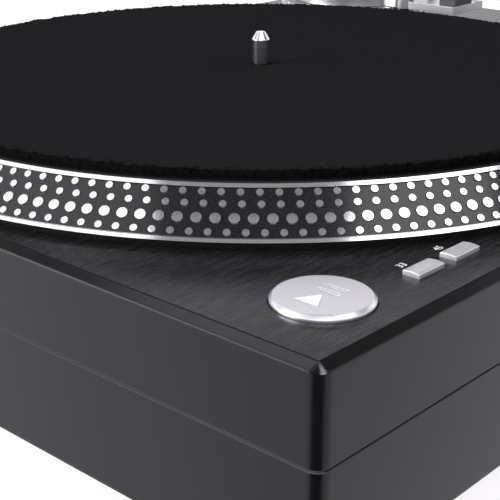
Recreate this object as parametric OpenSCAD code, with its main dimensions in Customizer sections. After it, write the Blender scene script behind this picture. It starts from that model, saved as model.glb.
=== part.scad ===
// Direct-drive turntable: a two-part plinth with a brushed top plate, a platter with a dotted sloping rim,
// a felt slipmat, start and speed buttons, a pitch fader and an S-shaped tonearm.
// Millimetres. X runs right along the front, Y to the back and Z up. The origin is the middle of the
// footprint, on the surface that the feet stand on.

/* [Plinth] */
// Width of the plinth
plinth_w = 450; // [440:1:480]
// Depth of the plinth
plinth_d = 352; // [346:1:380]
// Height of the lower plinth, up to the seam
lower_h = 36; // [34:1:48]
// Height of the upper plinth, from the seam to the top plate
upper_h = 27; // [25:1:36]
// Radius of the upright corners
corner_r = 4; // [3:0.5:8]
// Width of the sloping border round the top plate
bevel_w = 3.7; // [2.5:0.1:6]
// Drop of the sloping border
bevel_drop = 1; // [0.5:0.1:2]
// Wall of both plinth mouldings
wall_t = 3.5; // [2.5:0.1:5]
// Thickness of the upper plinth's deck, under the top plate
deck_t = 4; // [3:0.5:6]
// Thickness of the lower plinth's floor
floor_t = 4; // [3:0.5:6]
// Thickness of the top plate
plate_t = 1.5; // [1:0.1:2.5]
// Gap round the edge of the top plate
plate_gap = 0.25; // [0.1:0.05:0.6]
// Height of the groove at the seam
seam_h = 0.8; // [0.4:0.1:1.5]
// Depth of the groove at the seam
seam_depth = 1.2; // [0.8:0.1:1.6]

/* [Feet] */
// Height of a foot with its pad
foot_h = 22; // [16:1:30]
// Radius of a foot
foot_r = 26; // [20:1:32]
// Height of the rubber pad
pad_h = 6; // [4:0.5:8]
// Distance of a foot's axis from the side walls
foot_in = 52; // [40:1:60]

/* [Platter] */
// Distance of the spindle from the left wall
spindle_left = 171; // [170:1:178]
// Distance of the spindle from the front wall
spindle_front = 172; // [171:1:176]
// Radius of the rim at its foot
platter_r = 166; // [160:0.5:167]
// Radius of the rim at its top
platter_top_r = 152; // [150:0.5:155]
// Height of the sloping rim
rim_h = 13.5; // [11:0.5:18]
// Gap between the top plate and the foot of the rim
platter_gap = 2.5; // [2:0.1:5]
// Thickness of the platter's disc
disc_t = 5; // [4:0.5:7]
// Width of the bright rings at the top and foot of the rim
ring_w = 1.4; // [0.8:0.1:2.5]
// Depth of the dark band between the rings
band_depth = 0.4; // [0.2:0.05:0.8]
// Radius of the slipmat
mat_r = 148; // [145:0.5:150]
// Thickness of the slipmat
mat_t = 3; // [2:0.25:4]
// Diameter of the spindle that a record sits on
spindle_d = 7.16; // [7:0.02:7.24]
// Diameter of the shaft in its bearing
shaft_d = 8; // [6:0.5:10]
// Length of the bearing housing
bearing_l = 40; // [34:1:42]

/* [Buttons] */
// Diameter of the start button
start_d = 28.4; // [22:0.2:30]
// Height of the start button's top above the top plate
start_rise = 1.9; // [1.6:0.1:3]
// Chamfer round the start button's top
start_chamfer = 0.95; // [0.4:0.05:1.3]
// Distance of the start button from the left wall
start_left = 31.7; // [30:0.1:36]
// Distance of the start button from the front wall
start_front = 25.4; // [24:0.1:30]
// Length of a speed button
speed_l = 12; // [10:0.1:14]
// Width of a speed button
speed_w = 5.6; // [4.6:0.1:7]
// Height of a speed button's crown above the top plate
speed_rise = 1.5; // [1:0.1:2.5]
// Distance of the 33 button from the left wall
speed_left = 66.8; // [66:0.1:70]
// Distance of the speed buttons from the front wall
speed_front = 18.2; // [16.5:0.1:22]
// Distance between the two speed buttons
speed_step = 18; // [17:0.1:22]
// Travel of the buttons
button_travel = 1.2; // [0.6:0.1:1.5]
// Gap round a button
button_gap = 0.3; // [0.25:0.05:0.5]

/* [Fader and strobe] */
// Travel of the pitch knob
fader_travel = 100; // [60:1:110]
// Distance of the fader from the right wall
fader_right = 35; // [30:1:38]
// Distance of the middle of the fader from the front wall
fader_front = 92; // [84:1:96]
// Gap between the rim's foot and the strobe lamp
strobe_gap = 6; // [3:0.5:9]
// Radius of the strobe lamp's housing
strobe_r = 16.5; // [15:0.5:17]
// Height of the strobe lamp's housing
strobe_h = 16; // [14:1:22]
// Radius of the power knob
knob_r = 13; // [10:0.5:14]

/* [Tonearm] */
// Distance from the swing axis to the stylus
arm_reach = 230; // [222:1:238]
// How far the stylus passes the spindle
arm_overhang = 15; // [13:0.5:18]
// Angle of the headshell to the line from the swing axis to the stylus
offset_angle = 22; // [18:0.5:25]
// Angle of the first bend of the tube
bend_angle = 25; // [20:0.5:30]
// Radius of both bends of the tube
bend_r = 45; // [30:1:55]
// Diameter of the tube
tube_d = 10; // [8:0.5:11]
// Wall of the tube
tube_wall = 1; // [0.6:0.1:1.5]
// Distance from the headshell's socket to the stylus
head_len = 52; // [49:0.5:54]
// Height of the tube's axis above the stylus tip
head_drop = 18.2; // [17.5:0.1:21]
// Travel of the arm base when its height is set
height_travel = 6; // [3:0.5:7]
// Travel of the cue lift
cue_travel = 5.5; // [3:0.5:5.5]
// Radius of the counterweight
weight_r = 15.5; // [13:0.5:16]
// Length of the counterweight
weight_l = 18; // [14:1:22]

/* [Hidden] */
$fn = 96;

// Fits
run_gap = 0.05;   // radial clearance of a shaft that turns or slides
seat_gap = 0.3;   // gap between faces that pass each other
screw_gap = 0.1;  // radial clearance round a screw
screw_end = 0.6;  // free space past the tip of a screw
cut = 1;          // how far a cut runs past the face that it opens

// Levels of the plinth
floor_z = foot_h + floor_t;
seam_z = foot_h + lower_h;
plate_z = seam_z + upper_h;
deck_top = plate_z - plate_t;
deck_low = deck_top - deck_t;

// Levels of the platter
rim_z = plate_z + platter_gap;
platter_top = rim_z + rim_h;
mat_top = platter_top + mat_t;
disc_low = platter_top - disc_t;

// Places on the deck
spindle_x = spindle_left - plinth_w / 2;
spindle_y = spindle_front - plinth_d / 2;
start_x = start_left - plinth_w / 2;
start_y = start_front - plinth_d / 2;
speed_x = speed_left - plinth_w / 2;
speed_y = speed_front - plinth_d / 2;
fader_x = plinth_w / 2 - fader_right;
fader_y = fader_front - plinth_d / 2;
strobe_flange = 1.5;
strobe_dir = atan2(plinth_d - spindle_front, -spindle_left);
strobe_reach = platter_r + strobe_gap + strobe_flange + strobe_r;
strobe_x = spindle_x + strobe_reach * cos(strobe_dir);
strobe_y = spindle_y + strobe_reach * sin(strobe_dir);
arm_dir = 27.8;
mount_gap = 5;
mount_flange_r = 44;
arm_span = max(arm_reach - arm_overhang, platter_r + mount_gap + mount_flange_r);
arm_x = spindle_x + arm_span * cos(arm_dir);
arm_y = spindle_y + arm_span * sin(arm_dir);

// Screw posts of the plinth
post_r = 5;
post_in = 11;
post_screw_r = 2;
post_screw_l = 14;
screw_head_r = 3.8;
screw_head_h = 2.2;
post_x = plinth_w / 2 - post_in;
post_y = plinth_d / 2 - post_in;
posts = [[-post_x, -post_y], [0, -post_y], [post_x, -post_y], [-post_x, 0], [post_x, 0],
    [-post_x, post_y], [0, post_y], [post_x, post_y]];
feet = [for (x = [-1, 1], y = [-1, 1]) [x * (plinth_w / 2 - foot_in), y * (plinth_d / 2 - foot_in)]];
foot_bolt_r = 3;
foot_boss_r = 8;
foot_boss_h = 10;
foot_bolt_head_r = 6;
foot_bolt_head_h = 4;
foot_boss_cap = 2;
foot_bore_top = floor_z + foot_boss_h - foot_boss_cap;
foot_bolt_l = foot_bore_top - screw_end - pad_h - foot_bolt_head_h;
foot_chamfer = 2;
foot_chamfer_h = 3;
foot_shoulder = 1.5;
pad_in = 2.5;
pad_chamfer = 1.5;

// Motor
motor_hole_r = 64;
frame_r = 72;
frame_t = 3;
frame_z = deck_low - frame_t;
motor_screw_r = 1.5;
motor_screw_ring = (motor_hole_r + frame_r) / 2;
board_t = 1.6;
stator_r = 60;
coil_in = 28;
coil_out = 56;
coil_gap = 1.4;
coil_half = 11;
coil_hole_half = 4;
coil_band = 7;
magnet_rise = 0.5;
rim_wall = 4;
magnet_in = 26;
magnet_out = 58;
magnet_t = disc_low - rim_z - magnet_rise;
housing_r = 11;
housing_flange_r = 15;
housing_flange_t = 3;
shaft_r = shaft_d / 2;
shoulder_r = 12;
shoulder_t = 4;
hub_r = 22;
hub_h = 6;
hub_z = disc_low - hub_h;
boss_r = 8;
housing_top = hub_z - shoulder_t - seat_gap;
housing_low = housing_top - bearing_l;
cap_t = 2;
pad_t = 2;
shaft_low = housing_low + cap_t + pad_t;
coil_z = deck_low + board_t;
coil_h = disc_low - magnet_t - coil_gap - coil_z;
pin_relief = 0.5;
spindle_h = 13;
spindle_top = mat_top + spindle_h;
dome_h = 3;

// Buttons and their board
flange_t = 1.6;
flange_over = 1.5;
switch_w = 6.2;
switch_h = 3.5;
plunger_r = 1.75;
plunger_h = 1.5;
control_drop = 13.5;
control_z = deck_low - control_drop;
switch_top = control_z + board_t + switch_h + plunger_h;
stem_low = switch_top + button_travel + seat_gap;
stem_r = 2;
start_r = start_d / 2;
sign_depth = 0.25;
sign_side = 8.2;
sign_bar_l = 7.8;
sign_bar_w = 1.5;
sign_line = 0.35;
sign_bar_r = 0.6;
sign_bar_x = [2.6, 5.7];
crown_r = 14;
control_side = 13;
control_end = 9;
control_lip = 8;
control_post_r = 3;
control_post_gap = 0.8;
hole_in = 4;
control_post_y = start_y + start_d / 2 + flange_over + control_post_gap + control_post_r;
control_left = start_x - control_side;
control_right = speed_x + speed_step + control_end;
control_front = speed_y - control_lip;
control_back = control_post_y + hole_in;
control_posts = [[start_x, control_post_y], [control_right - hole_in, control_post_y],
    [(start_x + speed_x) / 2 + hole_in, control_front + hole_in]];
board_screw_r = 1.2;
board_screw_l = 7;
board_head_r = 2.4;
board_head_h = 1.6;

// Fader
slot_w = 4.4;
carriage_l = 12;
stem_w = 3;
stem_l = 6;
end_gap = 1;
slot_l = fader_travel + stem_l + 2 * end_gap;
channel_w = 10;
channel_l = fader_travel + carriage_l + 2 * end_gap;
channel_h = 8;
fader_case_w = 16;
fader_case_end = 6;
fader_case_l = channel_l + 2 * fader_case_end;
fader_case_h = 14;
fader_case_t = 3;
bezel_w = 20;
bezel_l = slot_l + carriage_l + 2 * fader_case_end;
bezel_t = 0.8;
bezel_r = 2;
channel_z = deck_low - fader_case_t - channel_h;
carriage_top = deck_low - fader_case_t - seat_gap;
knob_w = 22;
knob_l = 11;
knob_h = 9;
knob_gap = 0.5;
knob_z = plate_z + bezel_t + knob_gap;
knob_dip = 2;
knob_dip_r = 12;
ridge = 0.8;
ridge_z = 2;
ridge_step = 2.2;

// Strobe lamp and power switch
strobe_flange_h = 2;
window_in = 9;
window_w = 16;
window_low = 4;
window_h = 9;
power_shaft_r = 3;
power_case = [20, 16, 12];
power_shaft_l = 8;
power_shaft_low = deck_low - power_shaft_l;
power_hole_r = 4;
knob_top_h = 8;
knob_edge = 1;
mark_w = 1.2;
mark_depth = 0.5;
mark_from = 5;
flute_r = 1.4;
flute_out = 0.85;
knurl_r = 0.7;
knurl_out = 0.3;

// Rear pocket and what is in it
pocket_w = 120;
pocket_h = 22;
pocket_d = 12;
pocket_wall = 2.5;
pocket_right = 95;
pocket_x = plinth_w / 2 - pocket_right;
pocket_z = foot_h + lower_h / 2;
pocket_y = plinth_d / 2 - pocket_d;
panel_t = 1.5;
phono_r = 4.15;
phono_l = 8;
phono_flange_r = 6.2;
phono_flange_t = 1.5;
phono_back_r = 4;
phono_back_l = 10;
phono_pin_r = 1.6;
phono_left = 34;
phono_step = 16;
phono_x = [pocket_x + phono_left, pocket_x + phono_left + phono_step];
ground_right = 16;
ground_x = pocket_x + ground_right;
ground_r = 2;
ground_l = 10;
ground_back = 6;
ground_head_t = 2;
nut_r = 5;
nut_l = 5;
inlet_left = 38;
inlet_x = pocket_x - inlet_left;
inlet_flange = [26, 14];
inlet_flange_t = 2;
inlet_case = [20, 11.5];
inlet_depth = 14;
inlet_r = 4.1;
inlet_pitch = 8.6;
inlet_floor = 2;
inlet_pin_r = 1.2;
inlet_pin_l = 9;

// Power supply
supply_back = 62;
supply_right = 84;
supply_x = spindle_x + supply_right;
supply_y = plinth_d / 2 - supply_back;
supply_w = 90;
supply_d = 64;
supply_stand = board_screw_l - board_t + screw_end;
supply_z = floor_z + supply_stand;
supply_posts = [for (x = [-1, 1], y = [-1, 1])
    [supply_x + x * (supply_w / 2 - hole_in), supply_y + y * (supply_d / 2 - hole_in)]];
cap_r = 8;
cap_h = 26;
cap_x = 12;
cap_y = 14;
sink = [50, 4, 24];
sink_y = 18;
core_left = 48;
core_x = spindle_x - core_left;
core_w = 56;
core_d = 32;
core_h = 36;
winding_w = 36;
winding_d = 48;
winding_in = 6;

// The tube: straight, bent outwards, straight, bent back inwards and straight again into the headshell
neck_l = 12;
head_u = arm_reach - head_len * cos(offset_angle);
head_v = head_len * sin(offset_angle);
bend_out = bend_r * (1 - cos(bend_angle));
bend_back = bend_r * (cos(offset_angle) - cos(bend_angle));
slant_l = (head_v - bend_out - bend_back + neck_l * sin(offset_angle)) / sin(bend_angle);
bend_u = head_u - bend_r * (2 * sin(bend_angle) + sin(offset_angle))
    - slant_l * cos(bend_angle) - neck_l * cos(offset_angle);
slant_start = [bend_u + bend_r * sin(bend_angle), bend_out];
slant_end = slant_start + slant_l * [cos(bend_angle), sin(bend_angle)];
bend_centre = slant_end + bend_r * [sin(bend_angle), -cos(bend_angle)];
neck_start = [head_u - neck_l * cos(offset_angle), head_v + neck_l * sin(offset_angle)];
lap = 0.5;
lap_step = 0.05;

// Tonearm levels and sizes, along the arm (x), outwards (y) and up (z) from its swing axis
record_t = 1.8;
arm_z = mat_top + record_t + head_drop;
tube_r = tube_d / 2;
base_drop = 22;
base_top = arm_z - base_drop;
base_t = 4;
base_low = base_top - base_t;
base_r = 34;
mount_lip = 4;
ring_wall = 6;
mount_wall = 5;
ring_r = mount_flange_r - mount_lip;
mount_r = ring_r - ring_wall;
column_r = mount_r - mount_wall;
mount_below = 6;
mount_low = deck_low - mount_below;
column_below = 2;
column_low = mount_low - column_below - height_travel;
mount_flange_t = 3;
ring_z = plate_z + mount_flange_t + seat_gap;
ring_top = base_low - seat_gap;
swing_r = 4;
column_floor = 6;
swing_low = column_low + column_floor;
gimbal_r = 17;
gimbal_wall = 3.5;
gimbal_l = 9;
gimbal_foot_r = 8;
pivot_r = 2.2;
pivot_tip_r = 1.2;
pivot_tip_depth = 2;
pivot_head = 1.5;
block_r = 9;
block_l = 20;
socket_l = 6;
rod_r = 4.5;
rod_l = 58;
weight_at = 34;
weight_hub_r = 7;
weight_hub_l = 6;
weight_step = 1.5;
dial_r = 13;
dial_l = 5;
rest_before = 0.4;
rest_l = 10;
rest_at = bend_u - rest_before - rest_l / 2;
rest_in = 7;
rest_gap = 0.6;
rest_t = 3.4;
rest_wall = [tube_r + rest_gap, tube_r + rest_gap + rest_t];
rest_ear_h = 3;
clip_up = 2.5;
clip_z = arm_z + tube_r + clip_up;
clip_t = 1;
clip_l = 15;
clip_pin_r = 1;
clip_barrel_r = 1.4;
clip_w = 6;
bracket_in = 12;
bracket_out = 17;
bracket_end = 2;
bracket_l = rest_at + rest_l / 2 + bracket_end;
lift_before = 25;
lift_at = rest_at - lift_before;
lift_dir = 12;
lift_w = 5;
lift_t = 3;
lift_gap = 1.5;
lift_z = arm_z - tube_r - cue_travel - lift_gap - lift_t;
lift_from = -52;
lift_to = 6;
lift_post_r = 2.5;
lift_sleeve_r = 5;
lift_sleeve_h = 5;
lift_post_below = 6;
cue_after = 9;
cue_at = lift_at + cue_after;
cue_block = [8, 13, 8];
cue_z = base_top + cue_block.z / 2;
cue_shaft_r = 2;
cue_shaft_l = 10;
cue_lever_l = 34;
cue_lever_t = 3;
cue_lever_h = 4;
cue_tip_r = 3;
cue_tip_l = 9;
cue_boss_r = 3;
skate_u = 16;
skate_v = 24;
skate_r = 8;
skate_h = 6.5;
skate_shaft_r = 2;
skate_lip = 1;

// Headshell and cartridge, forwards from the socket
collar_r = 7;
collar_l = 10;
shell_flange_r = 6;
shell_flange_t = 2;
plug_l = 8;
shell_l = 60;
shell_w = 18;
shell_t = 3;
shell_neck = 14;
shell_corner = 2;
finger = [9, 12, 1.5];
cart_l = 24;
cart_w = 16;
cart_from = 34;
cart_h = 12;
cart_screw_r = 1.2;
cart_screw_step = 12.7;
cart_screw_at = 42;
cart_head_r = 2.2;
cart_head_h = 1.4;
cart_screw_depth = 4;
cart_slope = 35;
stylus_w = 9;
stylus_l = 12;
stylus_h = 3;
cantilever_r = 0.5;
stylus_tip_r = 0.1;
cart_low = arm_z - shell_t / 2 - cart_h;
stylus_z = arm_z - head_drop;

// Shared shapes
module rounded_rect(w, d, r) {
    square([w - 2 * r, d], center = true);
    square([w, d - 2 * r], center = true);
    for (x = [-1, 1], y = [-1, 1]) translate([x * (w / 2 - r), y * (d / 2 - r)]) circle(r);
}

module rounded_slab(w, d, r, z0, z1) {
    translate([0, 0, z0]) linear_extrude(z1 - z0) rounded_rect(w, d, r);
}

module post(x, y, r, z0, z1) {
    translate([x, y, z0]) cylinder(r = r, h = z1 - z0);
}

module tube(r_out, r_in, h) {
    difference() {
        cylinder(r = r_out, h = h);
        translate([0, 0, -cut]) cylinder(r = r_in, h = h + 2 * cut);
    }
}

module block(w, d, z0, z1) {
    translate([-w / 2, -d / 2, z0]) cube([w, d, z1 - z0]);
}

// A screw that points up: its head lies under z
module screw_up(x, y, z, r, l, head_r, head_h) {
    post(x, y, r, z, z + l);
    post(x, y, head_r, z - head_h, z);
}

// A cylinder along Y, from y0 to y1
module rod_y(x, y0, y1, z, r) {
    translate([x, y0, z]) rotate([-90, 0, 0]) cylinder(r = r, h = y1 - y0);
}

// A cylinder along X, from x0 to x1
module rod_x(x0, x1, y, z, r) {
    translate([x0, y, z]) rotate([0, 90, 0]) cylinder(r = r, h = x1 - x0);
}

module at_spindle() {
    translate([spindle_x, spindle_y, 0]) children();
}

module at_strobe() {
    translate([strobe_x, strobe_y, 0]) rotate(strobe_dir + 180) children();
}

// The arm's own directions: x to the front along the arm, y outwards
module along_arm() {
    translate([arm_x, arm_y, 0]) rotate(-90) children();
}

// The headshell's own directions: x forwards from its socket
module along_head() {
    along_arm() translate([head_u, head_v, 0]) rotate(-offset_angle) children();
}

// Plinth

module border_profile(span, z0, z1) {
    half = span / 2;
    polygon([[-half, z0], [half, z0], [half, z1 - bevel_drop], [half - bevel_w, z1],
        [bevel_w - half, z1], [-half, z1 - bevel_drop]]);
}

module upper_form() {
    intersection() {
        rounded_slab(plinth_w, plinth_d, corner_r, seam_z, plate_z);
        rotate([90, 0, 0]) linear_extrude(plinth_d, center = true) border_profile(plinth_w, seam_z, plate_z);
        rotate([90, 0, 90]) linear_extrude(plinth_w, center = true) border_profile(plinth_d, seam_z, plate_z);
    }
}

// Holes that go through both the top plate and the deck
module deck_holes() {
    low = deck_low - cut;
    high = plate_z + cut;
    at_spindle() translate([0, 0, low]) cylinder(r = motor_hole_r, h = high - low);
    post(start_x, start_y, start_r + button_gap, low, high);
    for (n = [0, 1]) translate([speed_x + n * speed_step, speed_y, 0])
        block(speed_l + 2 * button_gap, speed_w + 2 * button_gap, low, high);
    translate([fader_x, fader_y, 0]) block(slot_w, slot_l, low, high);
    post(strobe_x, strobe_y, power_hole_r, low, high);
    post(arm_x, arm_y, mount_r + screw_gap, low, high);
}

module motor_screw_places() {
    at_spindle() for (a = [45 : 90 : 315]) rotate(a) translate([motor_screw_ring, 0, 0]) children();
}

module upper_plinth() {
    color("#35373a") difference() {
        union() {
            difference() {
                upper_form();
                rounded_slab(plinth_w - 2 * bevel_w, plinth_d - 2 * bevel_w, 2 * plate_gap,
                    deck_top, plate_z + cut);
                rounded_slab(plinth_w - 2 * wall_t, plinth_d - 2 * wall_t, corner_r / 2,
                    seam_z - cut, deck_low);
            }
            for (p = posts) post(p.x, p.y, post_r, floor_z, deck_low + deck_t / 2);
            for (p = control_posts)
                post(p.x, p.y, control_post_r, control_z + board_t, deck_low + deck_t / 2);
        }
        deck_holes();
        for (p = posts) post(p.x, p.y, post_screw_r + screw_gap, floor_z - cut, floor_z + post_screw_l);
        for (p = control_posts)
            post(p.x, p.y, board_screw_r + screw_gap, control_z, control_z + board_t + board_screw_l);
        motor_screw_places() translate([0, 0, deck_low - cut])
            cylinder(r = motor_screw_r + screw_gap, h = deck_t);
    }
}

module pocket_outline(w, h, y0, y1) {
    translate([pocket_x - w / 2, y0, pocket_z - h / 2]) cube([w, y1 - y0, h]);
}

module lower_plinth() {
    color("#2f3134") difference() {
        union() {
            difference() {
                union() {
                    rounded_slab(plinth_w, plinth_d, corner_r, foot_h, seam_z - seam_h);
                    rounded_slab(plinth_w - 2 * seam_depth, plinth_d - 2 * seam_depth, corner_r - seam_depth,
                        foot_h, seam_z);
                }
                rounded_slab(plinth_w - 2 * wall_t, plinth_d - 2 * wall_t, corner_r / 2,
                    floor_z, seam_z + cut);
            }
            pocket_outline(pocket_w + 2 * pocket_wall, pocket_h + 2 * pocket_wall,
                pocket_y, plinth_d / 2 - wall_t / 2);
            for (f = feet) post(f.x, f.y, foot_boss_r, floor_z - floor_t / 2, floor_z + foot_boss_h);
            for (p = supply_posts) post(p.x, p.y, control_post_r, floor_z - floor_t / 2, supply_z);
        }
        pocket_outline(pocket_w, pocket_h, pocket_y - cut, plinth_d / 2 + cut);
        for (p = posts) {
            post(p.x, p.y, post_screw_r + screw_gap, foot_h - cut, floor_z + cut);
            post(p.x, p.y, screw_head_r + screw_gap, foot_h - cut, foot_h + screw_head_h);
        }
        for (f = feet) post(f.x, f.y, foot_bolt_r + screw_gap, foot_h - cut, foot_bore_top);
        for (p = supply_posts)
            post(p.x, p.y, board_screw_r + screw_gap, floor_z, supply_z + cut);
    }
}

module top_plate() {
    color("#3a3c3f") difference() {
        rounded_slab(plinth_w - 2 * bevel_w - 2 * plate_gap, plinth_d - 2 * bevel_w - 2 * plate_gap,
            plate_gap, deck_top, plate_z);
        deck_holes();
    }
}

module plinth_screws() {
    color("#1c1c1e") for (p = posts)
        screw_up(p.x, p.y, foot_h + screw_head_h, post_screw_r, post_screw_l, screw_head_r, screw_head_h);
}

// Feet

module foot_bodies() {
    color("#26272a") for (f = feet) translate([f.x, f.y, 0]) difference() {
        rotate_extrude() polygon([[0, pad_h], [foot_r - foot_chamfer, pad_h],
            [foot_r, pad_h + foot_chamfer_h], [foot_r, foot_h - foot_shoulder],
            [foot_r - foot_shoulder, foot_h], [0, foot_h]]);
        translate([0, 0, pad_h - cut]) cylinder(r = foot_bolt_r + screw_gap, h = foot_h);
        translate([0, 0, pad_h - cut]) cylinder(r = foot_bolt_head_r + screw_gap, h = foot_bolt_head_h + cut);
    }
}

module foot_pads() {
    color("#131314") for (f = feet) translate([f.x, f.y, 0])
        rotate_extrude() polygon([[0, 0], [foot_r - pad_in - pad_chamfer, 0], [foot_r - pad_in, pad_chamfer],
            [foot_r - pad_in, pad_h], [0, pad_h]]);
}

module foot_bolts() {
    color("silver") for (f = feet)
        screw_up(f.x, f.y, pad_h + foot_bolt_head_h, foot_bolt_r, foot_bolt_l,
            foot_bolt_head_r, foot_bolt_head_h);
}

// Drive

module motor_frame() {
    color("#8d9092") difference() {
        at_spindle() translate([0, 0, frame_z]) tube(frame_r, housing_r + screw_gap, frame_t);
        motor_screw_places() translate([0, 0, frame_z - cut])
            cylinder(r = motor_screw_r + screw_gap, h = frame_t + 2 * cut);
    }
}

module motor_screws() {
    color("silver") motor_screw_places()
        screw_up(0, 0, frame_z, motor_screw_r, frame_t + deck_t / 2, 2 * motor_screw_r, motor_screw_r);
}

module stator_board() {
    color("#1d5c3a") at_spindle() translate([0, 0, deck_low])
        tube(stator_r, housing_flange_r + seat_gap, board_t);
}

module stator_coils() {
    hole_in = coil_in + coil_band;
    hole_out = coil_out - coil_band;
    color("#b5652a") at_spindle() for (a = [0 : 30 : 330]) rotate(a) translate([0, 0, coil_z])
        linear_extrude(coil_h) difference() {
            polygon([for (p = [[coil_in, -1], [coil_out, -1], [coil_out, 1], [coil_in, 1]])
                [p[0] * cos(coil_half), p[1] * p[0] * sin(coil_half)]]);
            polygon([for (p = [[hole_in, -1], [hole_out, -1], [hole_out, 1], [hole_in, 1]])
                [p[0] * cos(coil_hole_half), p[1] * p[0] * sin(coil_hole_half)]]);
        }
}

module bearing_housing() {
    color("#c9a94e") at_spindle() difference() {
        union() {
            post(0, 0, housing_r, housing_low, housing_top);
            post(0, 0, housing_flange_r, deck_low, deck_low + housing_flange_t);
        }
        post(0, 0, shaft_r + run_gap, housing_low + cap_t, housing_top + cut);
    }
}

module thrust_pad() {
    color("#e8e4d6") at_spindle() post(0, 0, shaft_r - run_gap, housing_low + cap_t, shaft_low);
}

module spindle() {
    pin_r = spindle_d / 2;
    color("silver") at_spindle() {
        post(0, 0, shaft_r, shaft_low, hub_z - shoulder_t);
        post(0, 0, shoulder_r, hub_z - shoulder_t, hub_z);
        post(0, 0, boss_r, hub_z, platter_top);
        post(0, 0, pin_r - pin_relief, platter_top, mat_top + seat_gap);
        post(0, 0, pin_r, mat_top + seat_gap, spindle_top - dome_h);
        translate([0, 0, spindle_top - dome_h]) cylinder(r1 = pin_r, r2 = pin_r / 2, h = dome_h);
    }
}

module rotor_magnet() {
    color("#3b3b3d") at_spindle() translate([0, 0, disc_low - magnet_t])
        tube(magnet_out, magnet_in, magnet_t);
}

module platter() {
    slope = [platter_top_r - platter_r, rim_h] / norm([platter_top_r - platter_r, rim_h]);
    into = [-slope.y, slope.x] * band_depth;
    foot = [platter_r, rim_z];
    lip = [platter_top_r, platter_top];
    color("#b9bcbf") at_spindle() rotate_extrude($fn = 180) polygon([foot, foot + slope * ring_w,
        foot + slope * ring_w + into, lip - slope * ring_w + into, lip - slope * ring_w, lip,
        [boss_r + run_gap, platter_top], [boss_r + run_gap, hub_z], [hub_r, hub_z], [hub_r, disc_low],
        [platter_top_r - rim_wall - disc_t, disc_low], [platter_r - rim_wall, rim_z]]);
}

module slipmat() {
    color("#161616") at_spindle() translate([0, 0, platter_top])
        tube(mat_r, spindle_d / 2 + seat_gap, mat_t);
}

// Buttons

// The start sign: a triangle that points right, and two upright bars drawn as outlines
module start_sign() {
    tall = sign_side * cos(30);
    polygon([[0, 0], [-tall, sign_side / 2], [-tall, -sign_side / 2]]);
    for (x = sign_bar_x) translate([x, 0]) difference() {
        rounded_rect(sign_bar_w, sign_bar_l, sign_bar_r);
        rounded_rect(sign_bar_w - 2 * sign_line, sign_bar_l - 2 * sign_line, sign_bar_r - sign_line);
    }
}

module start_stop_button() {
    top = plate_z + start_rise;
    color("#c4c6c8") translate([start_x, start_y, 0]) difference() {
        union() {
            post(0, 0, start_r, deck_low - flange_t, top - start_chamfer);
            translate([0, 0, top - start_chamfer])
                cylinder(r1 = start_r, r2 = start_r - start_chamfer, h = start_chamfer);
            post(0, 0, start_r + flange_over, deck_low - flange_t, deck_low);
            post(0, 0, stem_r, stem_low, deck_low);
        }
        translate([0, 0, top - sign_depth]) linear_extrude(sign_depth + cut) start_sign();
    }
}

// A speed button has a crowned top, round across its width
module speed_button(n) {
    top = plate_z + speed_rise;
    translate([speed_x + n * speed_step, speed_y, 0]) {
        intersection() {
            block(speed_l, speed_w, deck_low - flange_t, top);
            rod_x(-speed_l, speed_l, 0, top - crown_r, crown_r);
        }
        block(speed_l + 2 * flange_over, speed_w + 2 * flange_over, deck_low - flange_t, deck_low);
        post(0, 0, stem_r, stem_low, deck_low);
    }
}

module speed_button_33() {
    color("#c4c6c8") speed_button(0);
}

module speed_button_45() {
    color("#c4c6c8") speed_button(1);
}

module control_board() {
    color("#1d5c3a") difference() {
        translate([control_left, control_front, control_z])
            cube([control_right - control_left, control_back - control_front, board_t]);
        for (p = control_posts)
            post(p.x, p.y, board_screw_r + screw_gap, control_z - cut, control_z + board_t + cut);
    }
}

module tact_switches() {
    places = [[start_x, start_y], [speed_x, speed_y], [speed_x + speed_step, speed_y]];
    foot = control_z + board_t;
    color("#202022") for (p = places) translate([p.x, p.y, 0]) {
        block(switch_w, switch_w, foot, foot + switch_h);
        post(0, 0, plunger_r, foot, switch_top);
    }
}

module board_screws() {
    color("silver") {
        for (p = control_posts)
            screw_up(p.x, p.y, control_z, board_screw_r, board_screw_l, board_head_r, board_head_h);
        for (p = supply_posts) translate([p.x, p.y, supply_z + board_t]) rotate([180, 0, 0])
            screw_up(0, 0, 0, board_screw_r, board_screw_l, board_head_r, board_head_h);
    }
}

// Pitch fader

module fader_plate() {
    color("#1f2022") translate([fader_x, fader_y, 0]) difference() {
        rounded_slab(bezel_w, bezel_l, bezel_r, plate_z, plate_z + bezel_t);
        block(slot_w, slot_l, plate_z - cut, plate_z + bezel_t + cut);
    }
}

module fader_body() {
    color("#55585c") translate([fader_x, fader_y, 0]) difference() {
        block(fader_case_w, fader_case_l, deck_low - fader_case_h, deck_low);
        block(channel_w, channel_l, channel_z, channel_z + channel_h);
        block(slot_w, slot_l, channel_z, deck_low + cut);
    }
}

module pitch_carriage() {
    color("#d9d4c4") translate([fader_x, fader_y, 0]) {
        block(channel_w - 2 * seat_gap, carriage_l, channel_z + seat_gap, carriage_top);
        block(stem_w, stem_l, carriage_top, knob_z);
    }
}

// The knob is ridged across its travel, with a dip in the middle for the finger
module pitch_knob() {
    color("#2a2b2d") translate([fader_x, fader_y, 0]) difference() {
        block(knob_w, knob_l, knob_z, knob_z + knob_h);
        rod_x(-knob_w, knob_w, 0, knob_z + knob_h + knob_dip_r - knob_dip, knob_dip_r);
        for (y = [-1, 1], n = [0 : 2]) translate([0, y * knob_l / 2, knob_z + ridge_z + n * ridge_step])
            rotate([45, 0, 0]) cube([knob_w + 2 * cut, ridge, ridge], center = true);
    }
}

// Strobe lamp with the power knob on top

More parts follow.
